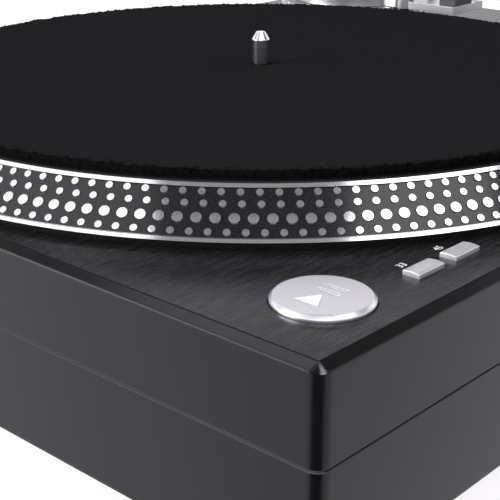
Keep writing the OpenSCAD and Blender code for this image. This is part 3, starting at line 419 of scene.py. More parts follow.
def finish(name, build, colour, **details):
    """A material made once by its build function and kept under its name."""
    label = f"{name}_finish"
    material = bpy.data.materials.get(label)
    if material is None:
        material = bpy.data.materials.new(label)
        material.use_nodes = True
        tree = material.node_tree
        tree.nodes.clear()
        shader = add(tree, "ShaderNodeBsdfPrincipled", build(tree, colour, **details))
        add(tree, "ShaderNodeOutputMaterial", {"Surface": shader.outputs[0]})
    return material


def inset(tree, corner):
    """How far each point lies in from the sides, the ends and the top of a box with its centre at zero."""
    mirrored = vectors(tree, "ABSOLUTE", place(tree))[0]
    inwards = vectors(tree, "SUBTRACT", tuple(corner), mirrored)[0]
    return add(tree, "ShaderNodeSeparateXYZ", {0: inwards}).outputs


def border_corner(tree, sides):
    """A mask of the sloping border, and how far past the corner's mitre a point lies, towards the ends."""
    on_border = reckon(tree, "LESS_THAN", sides[2], BORDER_DROP)
    return on_border, reckon(tree, "SUBTRACT", sides[0], sides[1])


def corner_wear(tree, sides, grain):
    """A mask of the painted highlight on small facets where the front and back borders meet the side ones."""
    on_border, past_mitre = border_corner(tree, sides)
    width = span(tree, sides[1], low=1.9 * MM, high=0.1 * MM, start=0.6 * MM, end=3.6 * MM)
    past_facet = reckon(tree, "SUBTRACT", past_mitre, width)
    return times(tree, rise(tree, past_mitre, -0.5 * MM, 0.5 * MM),
                 fall(tree, past_facet, -0.7 * MM, 0.3 * MM), on_border, span(tree, grain, 0.6, 1.0))


def corner_round(tree, sides, normal):
    """The normal turned outwards where the side borders run round into the corners."""
    on_border, past_mitre = border_corner(tree, sides)
    signs = vectors(tree, "SIGN", place(tree))[0]
    leaning = vectors(tree, "MULTIPLY", signs, (0.70, 0.70, 0.12))[0]
    turned = times(tree, fall(tree, past_mitre, -0.5 * MM, 0.1 * MM),
                   fall(tree, sides[1], 2.9 * MM, 3.9 * MM), on_border)
    return steer(tree, turned, normal, leaning)


def satin_paint(tree, colour):
    """Satin black paint with a fine orange peel, a painted highlight along its edges and on the border's
    corner facets, and painted light in the seam.
    """
    grain = use(tree, "grain", Vector=place(tree), Size=0.5 * MM)
    edges = use(tree, "edges", Radius=1.2 * MM)
    sides = inset(tree, PLINTH)
    height = height_of(tree, place(tree))
    in_seam = between(tree, height, SEAM - 1.05 * SEAM_HEIGHT, SEAM + 0.05 * SEAM_HEIGHT)
    from_seam = reckon(tree, "ABSOLUTE", reckon(tree, "SUBTRACT", height, SEAM - SEAM_HEIGHT / 2))
    off_seam = rise(tree, from_seam, 2 * SEAM_HEIGHT, 3 * SEAM_HEIGHT)
    by_plate = rise(tree, height, PLINTH.z - 0.55 * MM, PLINTH.z - 0.35 * MM)
    crisp = reckon(tree, "MAXIMUM", by_plate, reckon(tree, "SUBTRACT", 1.0, off_seam))
    normal = steer(tree, crisp, edges["Normal"], flat_normal(tree))
    # Edges get a painted highlight: the paint is made paler where the edge mask is high.
    painted_edge_highlight = times(tree, edges["Edge"], 0.35, off_seam)
    paint = blend(tree, painted_edge_highlight, mottle(tree, grain["Tone"], colour, 0.93, 1.07), shade(colour, 2.2))
    # The seam's groove gets painted light against its shade, weaker at the front and back than along the
    # sides.
    dust = blend(tree, reckon(tree, "LESS_THAN", sides[0], 3 * MM), SEAM_PAINTED_LIGHT_ENDS, SEAM_PAINTED_LIGHT_SIDES)
    paint = blend(tree, in_seam, paint, dust)
    # The corner mask lightens the paint there: a painted highlight on the border's corner facets.
    return {
        "Base Color": blend(tree, corner_wear(tree, sides, grain["Tone"]), paint, CORNER_HIGHLIGHT_PAINT),
        "Roughness": span(tree, grain["Tone"], 0.20, 0.24),
        "Specular IOR Level": 0.255,
        "Specular Tint": (0.98, 0.94, 1.0, 1.0),
        "Normal": bump(tree, grain["Height"], 0.001 * MM, corner_round(tree, sides, normal)),
    }


def brushed_black(tree, colour):
    """Black anodised aluminium, brushed along the front, with painted shade as a dark line round it and on
    its upright walls, and painted light under the rim.
    """
    lines = use(tree, "brushed", Vector=place(tree), Length=8 * MM, Width=0.55 * MM)
    edges = use(tree, "edges", Radius=0.2 * MM)
    dust = use(tree, "specks", Vector=place(tree), Size=5 * MM, Amount=0.05)
    patches = noise(tree, place(tree), scale=22.0, detail=2.0)
    tone = reckon(tree, "ADD", times(tree, lines["Tone"], 0.8), times(tree, patches, 0.2))
    metal = ramp(tree, tone, (0.4, shade(colour, 0.6)), (0.5, colour), (0.6, shade(colour, 1.6)))
    metal = blend(tree, times(tree, dust["Mask"], 0.25), metal, shade(colour, 4))
    # Under the rim the plate is paler and less metallic: painted light in the platter's shadow.
    from_spindle = reach(tree, place(tree, on_plan(SPINDLE)))
    painted_light_under_rim = fall(tree, from_spindle, RIM_FOOT - 6.5 * MM, RIM_FOOT - 1.5 * MM)
    sides = inset(tree, PLATE)
    # A thin strip round the plate's edge and its upright walls are painted near black: painted shade of the
    # gaps round the plate and its buttons.
    painted_gap_shadow = fall(tree, reckon(tree, "MINIMUM", sides[0], sides[1]), 0.35 * MM, 0.45 * MM)
    dark = reckon(tree, "MAXIMUM", upright(tree), painted_gap_shadow)
    return {
        "Base Color": blend(tree, dark, blend(tree, painted_light_under_rim, metal, shade(colour, 2)), shade(colour, 0.06)),
        "Metallic": choose(tree, reckon(tree, "MAXIMUM", painted_light_under_rim, painted_gap_shadow), 0.85, 0.1),
        "Specular Tint": (0.6, 0.6, 0.6, 1.0),
        "Roughness": choose(tree, painted_gap_shadow, span(tree, lines["Tone"], 0.18, 0.34), 1.0),
        "Anisotropic": 0.5,
        "Normal": bump(tree, lines["Height"], 0.018 * MM, edges["Normal"]),
    }


def platter_metal(tree, bright, band):
    """Cast aluminium: bright rings round the rim, black paint between them, turned metal elsewhere, and a
    painted highlight on the level top towards the lip.
    """
    low_ring, high_ring = (width / RIM_SLOPE.length for width in (1.25 * MM, 1.4 * MM))
    rim_wall, top_skin, lip_edge = 1.6 * MM, 0.05 * MM, 0.3 * MM
    about = place(tree, on_plan(SPINDLE))
    from_spindle = reach(tree, about)
    height = height_of(tree, about)
    climb = rise(tree, height, RIM_LOW, RIM_TOP)
    cone = span(tree, climb, RIM_FOOT, RIM_LIP, 0.0, 1.0)
    outside = reckon(tree, "GREATER_THAN", from_spindle, reckon(tree, "SUBTRACT", cone, rim_wall))
    banded = times(tree, outside, between(tree, climb, low_ring, 1 - high_ring))
    level = reckon(tree, "GREATER_THAN", height, RIM_TOP - top_skin)
    within = reckon(tree, "LESS_THAN", from_spindle, RIM_LIP - lip_edge)
    painted = reckon(tree, "MAXIMUM", banded, times(tree, level, within))
    rings = use(tree, "turned", Vector=about, Pitch=0.12 * MM)
    grain = use(tree, "grain", Vector=about, Size=0.45 * MM)
    polished = mottle(tree, rings["Tone"], bright, 0.9, 1.0)
    turned = mottle(tree, rings["Tone"], bright, 0.72, 0.84)
    paint = ramp(tree, grain["Height"], (0.35, shade(band, 0.4)), (0.65, shade(band, 2.0)))
    # Near the lip the level top is lightened: a painted highlight of a rounded lip.
    painted_lip_highlight = rise(tree, from_spindle, RIM_LIP - 2.6 * MM, RIM_LIP - 0.4 * MM)
    paint = blend(tree, times(tree, painted_lip_highlight, level), paint, shade(band, 8))
    rough = choose(tree, outside, span(tree, rings["Tone"], 0.3, 0.42), span(tree, rings["Tone"], 0.10, 0.15))
    relief = choose(tree, painted, rings["Height"], grain["Height"])
    return {
        "Base Color": blend(tree, painted, blend(tree, outside, turned, polished), paint),
        "Metallic": reckon(tree, "SUBTRACT", 1.0, painted),
        "Roughness": choose(tree, painted, rough, span(tree, grain["Height"], 0.13, 0.24)),
        "Normal": bump(tree, relief, 0.0025 * MM),
    }


def polished_dots(tree, bright):
    """Machined faces of the rim's dots."""
    about = place(tree, on_plan(SPINDLE))
    rings = use(tree, "turned", Vector=about, Pitch=0.12 * MM)
    grain = use(tree, "grain", Vector=about, Size=0.55 * MM)
    tone = times(tree, rings["Tone"], grain["Height"])
    return {
        "Base Color": ramp(tree, tone, (0.12, shade(bright, 0.62)), (0.30, bright)),
        "Metallic": 1.0,
        "Roughness": span(tree, grain["Tone"], 0.07, 0.12),
        "Normal": bump(tree, grain["Height"], 0.005 * MM),
    }


def felt_cloth(tree, colour):
    """Pressed black felt: matted fibres, a ragged edge, a little lint that gathers there, and painted shade
    on its upright faces.
    """
    about = place(tree, on_plan(SPINDLE))
    from_spindle = reach(tree, about)
    fibres, crossed = (
        use(tree, "brushed", Vector=place(tree, turn=(0, 0, turn)), Length=length, Width=0.12 * MM)["Tone"]
        for turn, length in ((0.5, 1.6 * MM), (2.1, 1.4 * MM)))
    matted = reckon(tree, "MAXIMUM", fibres, crossed)
    nap = ramp(tree, matted, (0.4, shade(colour, 0.6)), (0.75, shade(colour, 1.7)))
    lint = use(tree, "specks", Vector=place(tree), Size=1.1 * MM, Amount=0.10)
    gathered = span(tree, from_spindle, 0.15, 0.8, MAT_RADIUS - 40 * MM, MAT_RADIUS - 4 * MM)
    linty = blend(tree, times(tree, lint["Mask"], gathered), nap, shade(colour, 8))
    wander = span(tree, noise(tree, about, scale=700.0), -1.3 * MM, 1.3 * MM)
    ragged = reckon(tree, "ADD", from_spindle, wander)
    whole = fall(tree, ragged, MAT_RADIUS - 1.6 * MM, MAT_RADIUS - 1.0 * MM)
    return {
        # Upright faces of the felt are darkened as painted shade.
        "Base Color": blend(tree, upright(tree), linty, shade(colour, 0.35)),
        "Roughness": span(tree, matted, 0.85, 1.0),
        "Specular IOR Level": 0.0,
        "Sheen Weight": 0.001,
        "Sheen Roughness": 0.5,
        "Normal": bump(tree, matted, 0.12 * MM, bump(tree, whole, 0.8 * MM)),
    }


def satin_silver(tree, colour):
    """Satin aluminium with a fine brush along X, painted shade on its upright faces and a painted highlight
    along its edges.
    """
    lines = use(tree, "brushed", Vector=place(tree), Length=5 * MM, Width=0.22 * MM)
    edges = use(tree, "edges", Radius=0.5 * MM)
    metal = ramp(tree, lines["Tone"], (0.36, shade(colour, 0.52)), (0.64, shade(colour, 0.92)))
    # Upright faces are darkened as painted shade.
    metal = blend(tree, upright(tree), metal, shade(colour, 0.5))
    return {
        # Edges are made paler as a painted highlight.
        "Base Color": blend(tree, edges["Edge"], metal, shade(colour, 1.08)),
        "Metallic": 0.55,
        "Roughness": span(tree, lines["Tone"], 0.34, 0.42),
        "Normal": bump(tree, lines["Height"], 0.002 * MM, edges["Normal"]),
    }


def start_metal(tree, colour):
    """Blasted satin top with a polished chamfer round it."""
    about = place(tree, on_plan(START))
    grain = use(tree, "grain", Vector=about, Size=0.12 * MM)
    rings = use(tree, "turned", Vector=about, Pitch=0.08 * MM)
    edges = use(tree, "edges", Radius=0.7 * MM)
    flat_radius = radius_at("start_stop_button", START_TOP) - 0.05 * MM
    polished = reckon(tree, "GREATER_THAN", reach(tree, about), flat_radius)
    top_tone = mottle(tree, grain["Tone"], colour, 0.95, 1.04)
    edge_tone = mottle(tree, rings["Tone"], colour, 0.84, 0.92)
    return {
        "Base Color": blend(tree, polished, top_tone, edge_tone),
        "Metallic": 1.0,
        "Roughness": choose(tree, polished, span(tree, grain["Tone"], 0.36, 0.42),
                            span(tree, rings["Tone"], 0.26, 0.32)),
        "Normal": bump(tree, grain["Height"], 0.002 * MM, edges["Normal"]),
    }


def polished_inlay(tree, colour):
    """Mirror-bright inlay with faint polishing swirls."""
    off_centre = Vector((-8 * MM, 5 * MM, 0))
    swirls = use(tree, "turned", Vector=place(tree, on_plan(START + off_centre)), Pitch=0.1 * MM)
    return {
        "Base Color": mottle(tree, swirls["Tone"], colour, 0.95, 1.0),
        "Metallic": 1.0,
        "Roughness": span(tree, swirls["Tone"], 0.08, 0.14),
        "Normal": bump(tree, swirls["Height"], 0.0005 * MM),
    }


def moulded_black(tree, colour):
    """Black plastic with a spark-eroded grain."""
    grain = use(tree, "grain", Vector=place(tree), Size=0.28 * MM)
    edges = use(tree, "edges", Radius=0.3 * MM)
    return {
        "Base Color": mottle(tree, grain["Tone"], colour, 0.8, 1.25),
        "Roughness": span(tree, grain["Height"], 0.42, 0.56),
        "Normal": bump(tree, grain["Height"], 0.012 * MM, edges["Normal"]),
    }


def soft_rubber(tree, colour):
    """Matt rubber with dust in its pores."""
    grain = use(tree, "grain", Vector=place(tree), Size=0.4 * MM)
    dust = use(tree, "specks", Vector=place(tree), Size=1.5 * MM, Amount=0.12)
    rubber = mottle(tree, grain["Tone"], colour, 0.8, 1.3)
    return {
        "Base Color": blend(tree, times(tree, dust["Mask"], 0.4), rubber, shade(colour, 5)),
        "Roughness": span(tree, grain["Tone"], 0.7, 0.85),
        "Normal": bump(tree, grain["Height"], 0.02 * MM),
    }


def lathe_metal(tree, colour, centre, rough, lying=False):
    """Metal turned on a lathe about an upright axis, or one that lies along Y."""
    turn = (math.pi / 2 if lying else 0, 0, 0)
    rings = use(tree, "turned", Vector=place(tree, centre, turn), Pitch=0.15 * MM)
    edges = use(tree, "edges", Radius=0.25 * MM)
    metal = mottle(tree, rings["Tone"], colour, 0.86, 1.1)
    return {
        "Base Color": blend(tree, edges["Edge"], metal, shade(colour, 1.3)),
        "Metallic": 1.0,
        "Roughness": span(tree, rings["Tone"], rough, rough + 0.1),
        "Normal": bump(tree, rings["Height"], 0.003 * MM, edges["Normal"]),
    }


def plated_metal(tree, colour, rough):
    """Plated or drawn metal with faint stains."""
    grain = use(tree, "grain", Vector=place(tree), Size=0.6 * MM)
    edges = use(tree, "edges", Radius=0.2 * MM)
    stains = noise(tree, place(tree), scale=90.0)
    return {
        "Base Color": mottle(tree, stains, colour, 0.93, 1.04),
        "Metallic": 1.0,
        "Roughness": span(tree, stains, rough, rough + 0.06),
        "Normal": bump(tree, grain["Height"], 0.003 * MM, edges["Normal"]),
    }


def waves(tree, vector, inputs, **options):
    """Even waves from 0 to 1, as bands or rings."""
    return add(tree, "ShaderNodeTexWave", {"Vector": vector, **inputs}, **options).outputs[1]


def clear_red(tree, colour):
    """Red window with a fine moulded ribbing."""
    ribs = waves(tree, place(tree), {"Scale": 260.0, "Distortion": 0.0, "Detail": 0.0}, bands_direction="Z")
    return {
        "Base Color": ramp(tree, ribs, (0.0, shade(colour, 0.7)), (1.0, shade(colour, 1.3))),
        "Roughness": span(tree, ribs, 0.08, 0.14, 0.0, 1.0),
        "Transmission Weight": 0.55,
        "IOR": 1.49,
        "Normal": bump(tree, ribs, 0.05 * MM),
    }


def wound_copper(tree, colour):
    """Enamelled wire laid round the spindle's axis."""
    wires = waves(tree, place(tree, on_plan(SPINDLE)),
                  {"Scale": 560.0, "Distortion": 1.5, "Detail": 1.0, "Detail Scale": 4.0},
                  wave_type="RINGS", rings_direction="Z")
    return {
        "Base Color": ramp(tree, wires, (0.1, shade(colour, 0.35)), (0.8, shade(colour, 1.15))),
        "Metallic": 0.9,
        "Roughness": span(tree, wires, 0.45, 0.25, 0.0, 1.0),
        "Normal": bump(tree, wires, 0.12 * MM),
    }


def circuit_board(tree, colour):
    """Green lacquer over a net of raised tracks."""
    tracks = add(tree, "ShaderNodeTexBrick", {
        "Vector": place(tree, turn=(0, 0, math.pi / 4)), "Scale": 60.0, "Mortar Size": 0.06,
        "Color1": (0, 0, 0, 1), "Color2": (0.3, 0.3, 0.3, 1), "Mortar": (1, 1, 1, 1)}).outputs["Color"]
    grain = use(tree, "grain", Vector=place(tree), Size=0.5 * MM)
    lacquer = mottle(tree, grain["Tone"], colour, 0.85, 1.1)
    return {
        "Base Color": blend(tree, times(tree, tracks, 0.6), lacquer, shade(colour, 2.2)),
        "Roughness": span(tree, grain["Tone"], 0.25, 0.35),
        "Normal": bump(tree, tracks, 0.03 * MM),
    }


def stacked_core(tree, colour):
    """Iron sheets stacked on edge, with dull varnish."""
    sheets = waves(tree, place(tree), {"Scale": 320.0, "Distortion": 0.4, "Detail": 1.0}, bands_direction="Y")
    return {
        "Base Color": ramp(tree, sheets, (0.2, shade(colour, 0.5)), (0.8, shade(colour, 1.2))),
        "Metallic": 0.6,
        "Roughness": span(tree, sheets, 0.6, 0.45, 0.0, 1.0),
        "Normal": bump(tree, sheets, 0.08 * MM),
    }


def pale_moulding(tree, colour):
    """Unpainted plastic with flow marks."""
    flow = noise(tree, place(tree), scale=140.0, detail=4.0)
    return {
        "Base Color": mottle(tree, flow, colour, 0.92, 1.04),
        "Roughness": span(tree, flow, 0.4, 0.55),
        "Normal": bump(tree, flow, 0.01 * MM),
    }


def printed_ink(tree, colour):
    """Screen-printed ink with uneven cover."""
    cover = noise(tree, place(tree), scale=2600.0)
    return {
        "Base Color": mottle(tree, cover, colour, 0.88, 1.0),
        "Roughness": span(tree, cover, 0.45, 0.6),
        "Normal": bump(tree, cover, 0.006 * MM),
    }


def pale_floor(tree, colour):
    """Plain pale table top with a glow of its own."""
    cloud = noise(tree, place(tree), scale=3.0)
    return {
        "Base Color": mottle(tree, cloud, colour, 0.985, 1.0),
        "Roughness": span(tree, cloud, 0.55, 0.62),
        "Specular IOR Level": 0.25,
        "Emission Color": (1.0, 0.97, 1.03, 1.0),
        "Emission Strength": 0.89,
    }


# Finishes that several operators use

def settings():
    """The settings held by the scene."""
    return bpy.context.scene.turntable


def black_plastic():
    """Moulded black of the knobs, housings and feet."""
    return finish("moulded_black", moulded_black, settings().colours.black)


def black_rubber():
    """Rubber of the feet and the arm's lift."""
    return finish("soft_rubber", soft_rubber, settings().colours.black)


def pale_plastic():
    """Bare plastic of sliding pieces."""
    return finish("pale_moulding", pale_moulding, PALE_PLASTIC)


def plated_steel():
    """Steel of the screws and pressed pieces."""
    return finish("plated_steel", plated_metal, SCREW_STEEL, rough=0.22)


def ink(dark=False):
    """The print's material: white, or dark for bright metal."""
    colours = settings().colours
    if dark:
        return finish("dark_ink", printed_ink, colours.black)
    return finish("white_ink", printed_ink, colours.ink)


def dress(material, *nodes):
    """Gives a material to CAD nodes."""
    for node in nodes:
        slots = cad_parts[node].material_slots
        if not slots:
            raise RuntimeError(f"{node} has no material slot")
        for slot in slots:
            slot.material = material


# Modelling by hand

def begin(name, primitive, **sizes):
    """Adds a primitive as the only selected object, with its place in its mesh."""
    bpy.ops.object.select_all(action="DESELECT")
    primitive(**sizes)
    piece = bpy.context.active_object
    piece.name = name
    piece.data.name = name
    bpy.ops.object.transform_apply(location=True, rotation=True, scale=True)
    return piece


def edit(on):
    """Opens edit mode on the active piece, with all of it selected, or closes it."""
    bpy.ops.object.mode_set(mode="EDIT" if on else "OBJECT")
    if on:
        bpy.ops.mesh.select_all(action="SELECT")


def select(piece, test):
    """In edit mode, selects only the points of a piece that pass a test."""
    bpy.ops.mesh.select_all(action="DESELECT")
    mesh = bmesh.from_edit_mesh(piece.data)
    for vert in mesh.verts:
        vert.select_set(test(vert.co))
    mesh.select_flush_mode()
    bmesh.update_edit_mesh(piece.data)


def thicken(way):
    """In edit mode, draws the selected faces out along a way into a solid."""
    bpy.ops.mesh.extrude_region_move(TRANSFORM_OT_translate={"value": way})


def face_outwards():
    """In edit mode, points all faces of the active piece outwards."""
    bpy.ops.mesh.select_all(action="SELECT")
    bpy.ops.mesh.normals_make_consistent(inside=False)


def spin_copies(count, centre, axis):
    """In edit mode, repeats the active piece evenly round an axis."""
    face_outwards()
    bpy.ops.mesh.spin(steps=count - 1, angle=math.tau * (count - 1) / count, dupli=True,
                      center=centre, axis=axis)


def modify(piece, kind, **values):
    """Adds a modifier with its values and applies it."""
    modifier = piece.modifiers.new(kind.lower(), kind)
    for name, value in values.items():
        setattr(modifier, name, value)
    bpy.ops.object.modifier_apply(modifier=modifier.name)


def smooth(degrees):
    """Shades the active piece smooth, apart from edges sharper than an angle."""
    bpy.ops.object.shade_smooth_by_angle(angle=math.radians(degrees))


def complete(piece, material, body):
    """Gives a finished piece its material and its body."""
    piece.data.materials.clear()
    piece.data.materials.append(material)
    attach(piece, body)


def print_text(name, text, size, at, body, turn=0.0, dark=False):
    """Prints text with its middle at a place, lying flat on the surface there."""
    bpy.ops.object.select_all(action="DESELECT")
    bpy.ops.object.text_add(location=at, rotation=(0, 0, turn))
    letters = bpy.context.active_object
    letters.name = name
    letters.data.body = text
    letters.data.size = size
    letters.data.align_x = "CENTER"
    letters.data.align_y = "CENTER"
    letters.data.resolution_u = 3
    letters.data.extrude = settings().print.thickness / 2
    bpy.ops.object.convert(target="MESH")
    piece = bpy.context.active_object
    piece.data.name = name
    bpy.ops.object.transform_apply(location=True, rotation=True, scale=True)
    complete(piece, ink(dark), body)


def model_strip(name, at, width, depth):
    """Models a strip of ink that lies flat, with its middle at a place."""
    strip = begin(name, bpy.ops.mesh.primitive_plane_add, size=1, location=at)
    edit(True)
    bpy.ops.transform.resize(value=(width, depth, 1), center_override=at)
    thicken(UP * settings().print.thickness)
    face_outwards()
    edit(False)
    return strip


# Operators

class TURNTABLE_OT_plinth(bpy.types.Operator):
    """Paints the plinth, brushes the top plate and finishes the feet"""

    bl_idname = "turntable.plinth"
    bl_label = "Plinth finishes"

    def execute(self, context):
        colours = settings().colours
        dress(finish("satin_black_paint", satin_paint, colours.plinth), "upper_plinth", "lower_plinth")
        dress(finish("brushed_black_plate", brushed_black, colours.plate), "top_plate")
        dress(black_plastic(), "foot_bodies")
        dress(black_rubber(), "foot_pads")
        return {"FINISHED"}


class TURNTABLE_OT_platter(bpy.types.Operator):
    """Finishes the platter's rim and the spindle"""

    bl_idname = "turntable.platter"
    bl_label = "Platter finishes"

    def execute(self, context):
        colours = settings().colours
        dress(finish("platter_metal", platter_metal, colours.bright, band=colours.band), "platter")
        axis = on_plan(SPINDLE)
        dress(finish("spindle_steel", lathe_metal, SPINDLE_STEEL, centre=axis, rough=0.12), "spindle")
        return {"FINISHED"}


class TURNTABLE_OT_slipmat(bpy.types.Operator):
    """Cuts the felt slipmat and lays it on the platter"""

    bl_idname = "turntable.slipmat"
    bl_label = "Felt slipmat"

    SEGMENTS = 1000
    RINGS = (0.997, 0.99, 0.95, 0.8, 0.5, 0.2)
    EDGE_SEGMENTS, EDGE_ANGLE = 3, math.radians(50)
    FRAYED = 0.994
    FRAY_GROUP = "frayed"
    TUFT = 1.2 * MM

    def execute(self, context):
        sizes = settings().slipmat
        low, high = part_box("slipmat")
        centre = Vector((SPINDLE.x, SPINDLE.y, low.z))
        radius = MAT_RADIUS - sizes.fray / 2
        mat = begin("felt_slipmat", bpy.ops.mesh.primitive_circle_add, vertices=self.SEGMENTS, radius=radius,
                    fill_type="NOTHING", location=centre)
        self.fill_rings(centre, sizes.hole / radius)
        upwards = mat.data.polygons[0].normal.z > 0
        modify(mat, "SOLIDIFY", thickness=high.z - low.z, offset=1.0 if upwards else -1.0)
        modify(mat, "BEVEL", width=sizes.edge, segments=self.EDGE_SEGMENTS, limit_method="ANGLE",
               angle_limit=self.EDGE_ANGLE)
        self.fray_edge(mat, centre, radius)
        smooth(60)
        complete(mat, finish("felt_cloth", felt_cloth, settings().colours.felt), "platter")
        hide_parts("slipmat")
        return {"FINISHED"}

    def fill_rings(self, centre, hole):
        """Fills the circle inwards, ring by ring, as far as the hole."""
        edit(True)
        reached = 1.0
        for share in (*self.RINGS, hole):
            bpy.ops.mesh.extrude_edges_move()
            factor = share / reached
            bpy.ops.transform.resize(value=(factor, factor, 1), center_override=centre)
            reached = share
        face_outwards()
        edit(False)

    def fray_edge(self, mat, centre, radius):
        """Pulls tufts out of the cut edge, where it stands clear of the platter."""
        sizes = settings().slipmat
        clear = centre.z + sizes.edge / 2
        points = [vert.index for vert in mat.data.vertices
                  if (vert.co - centre).xy.length > radius * self.FRAYED and vert.co.z > clear]
        mat.vertex_groups.new(name=self.FRAY_GROUP).add(points, 1.0, "ADD")
        texture = bpy.data.textures.new("felt_fray", "CLOUDS")
        texture.noise_scale = self.TUFT
        for direction in ("NORMAL", "Z"):
            modify(mat, "DISPLACE", texture=texture, strength=sizes.fray, mid_level=0.5,
                   texture_coords="LOCAL", vertex_group=self.FRAY_GROUP, direction=direction)


class TURNTABLE_OT_rim_dots(bpy.types.Operator):
    """Sets the four rows of raised dots round the rim"""

    bl_idname = "turntable.rim_dots"
    bl_label = "Rim dots"

    # Each row: its share of the way up the rim, its count, whether its dots are large, its first angle
    ROWS = {
        "rim_dots_low": (0.175, 186, False, 193.29),
        "rim_dots_bold": (0.409, 180, True, 193.15),
        "rim_dots_middle": (0.650, 174, False, 190.93),
        "rim_dots_high": (0.854, 170, False, 213.32),
    }
    SMALL_SIDES, LARGE_SIDES = 16, 20

    def execute(self, context):
        material = finish("polished_dots", polished_dots, settings().colours.bright)
        for name, (share, count, large, angle) in self.ROWS.items():
            row = self.model_row(name, share, count, large, math.radians(angle))
            complete(row, material, "platter")
        return {"FINISHED"}

    def model_row(self, name, share, count, large, angle):
        """Models one crowned dot on the rim's cone and spins copies of it round the spindle."""
        sizes = settings().dots
        radius = (sizes.large if large else sizes.small) / 2
        turn = Matrix.Rotation(angle, 3, "Z")
        outward = turn @ Vector((RIM_SLOPE.z, 0, -RIM_SLOPE.x)).normalized()
        axis = Vector((SPINDLE.x, SPINDLE.y, RIM_LOW))
        at = axis + turn @ (Vector((RIM_FOOT, 0, 0)) + RIM_SLOPE * share)
        tilt = math.atan2(RIM_SLOPE.z, -RIM_SLOPE.x)
        row = begin(name, bpy.ops.mesh.primitive_circle_add, radius=radius, fill_type="TRIFAN",
                    vertices=self.LARGE_SIDES if large else self.SMALL_SIDES,
                    location=at, rotation=(0, tilt, angle))
        edit(True)
        select(row, lambda point: (point - at).length < radius / 2)
        crown = radius ** 2 / (2 * (at - axis).xy.length)
        bpy.ops.transform.translate(value=outward * crown)
        bpy.ops.mesh.select_all(action="SELECT")
        thicken(-outward * sizes.depth)
        spin_copies(count, axis, UP)
        face_outwards()
        edit(False)
        smooth(40)
        return row


class TURNTABLE_OT_controls(bpy.types.Operator):
    """Finishes the buttons, the fader and the lamp with its knob"""

    bl_idname = "turntable.controls"
    bl_label = "Control finishes"

    def execute(self, context):
        colours = settings().colours
        dress(finish("start_metal", start_metal, colours.silver), "start_stop_button")
        dress(finish("satin_silver", satin_silver, colours.silver), "speed_button_33", "speed_button_45")
        knob = on_plan(middle("power_knob"))
        dress(finish("knob_silver", lathe_metal, colours.silver, centre=knob, rough=0.3), "power_knob")
        dress(black_plastic(), "fader_plate", "pitch_knob", "strobe_housing", "power_switch")
        dress(finish("clear_red", clear_red, colours.lens), "strobe_lens")
        dress(pale_plastic(), "pitch_carriage")
        return {"FINISHED"}


class TURNTABLE_OT_start_sign(bpy.types.Operator):
    """Sets bright inlays in the start button's engraved triangle and bars"""

    bl_idname = "turntable.start_sign"
    bl_label = "Start sign"

    SIDE = 8.2 * MM
    DEPTH = 0.25 * MM
    PEAK = 0.06 * MM
    CLEAR = 0.08 * MM
    BARS = {"start_bar_near": 2.6 * MM, "start_bar_far": 5.7 * MM}
    BAR_WIDTH = 1.5 * MM
    BAR_LENGTH = 7.8 * MM
    BAR_POINTS = 24
    LINE = 0.16 * MM

    def execute(self, context):
        material = finish("polished_inlay", polished_inlay, settings().colours.bright)
        complete(self.model_triangle(), material, "start_button")
        for name, offset in self.BARS.items():
            complete(self.model_bar(name, offset), material, "start_button")
        return {"FINISHED"}

    def engraved(self, offset):
        """A point on the engraving's floor, along the sign from the button's middle."""
        return Vector((START.x + offset, START.y, START_TOP - self.DEPTH))

    def model_triangle(self):
        """Models the triangle with three low facets, its tip at the button's middle."""
        corner = self.SIDE / math.sqrt(3)
        piece = begin("start_triangle", bpy.ops.mesh.primitive_circle_add, vertices=3,
                      radius=corner - 2 * self.CLEAR, fill_type="NGON", location=self.engraved(-corner),
                      rotation=(0, 0, -math.pi / 2))
        edit(True)
        thicken(UP * self.DEPTH)
        bpy.ops.mesh.poke(offset=self.PEAK)
        face_outwards()
        edit(False)
        return piece

    def model_bar(self, name, offset):
        """Models one bar as the bright line round a rounded strip."""
        at = self.engraved(offset)
        radius = self.BAR_WIDTH / 2 - self.CLEAR
        piece = begin(name, bpy.ops.mesh.primitive_circle_add, vertices=self.BAR_POINTS, radius=radius,
                      fill_type="NGON", location=at)
        edit(True)
        stretch = self.BAR_LENGTH / 2 - self.CLEAR - radius
        for side in (1, -1):
            select(piece, lambda point: (point.y - at.y) * side > SAME_LEVEL)
            bpy.ops.transform.translate(value=(0, side * stretch, 0))
        bpy.ops.mesh.select_all(action="SELECT")
        bpy.ops.mesh.inset(thickness=self.LINE)
        bpy.ops.mesh.delete(type="FACE")
        bpy.ops.mesh.select_all(action="SELECT")
        thicken(UP * self.DEPTH)
        face_outwards()
        edit(False)
        return piece


class TURNTABLE_OT_speed_numbers(bpy.types.Operator):
    """Prints the speeds behind their buttons"""

    bl_idname = "turntable.speed_numbers"
    bl_label = "Speed numbers"

    OFFSET = Vector((-0.8 * MM, 6.7 * MM, 0))

    def execute(self, context):
        sizes = settings().print
        for speed in ("33", "45"):
            at = middle(f"speed_button_{speed}") + self.OFFSET
            at.z = PLATE.z + sizes.thickness / 2
            print_text(f"speed_number_{speed}", speed, sizes.speed_digit, at, "root")
        return {"FINISHED"}


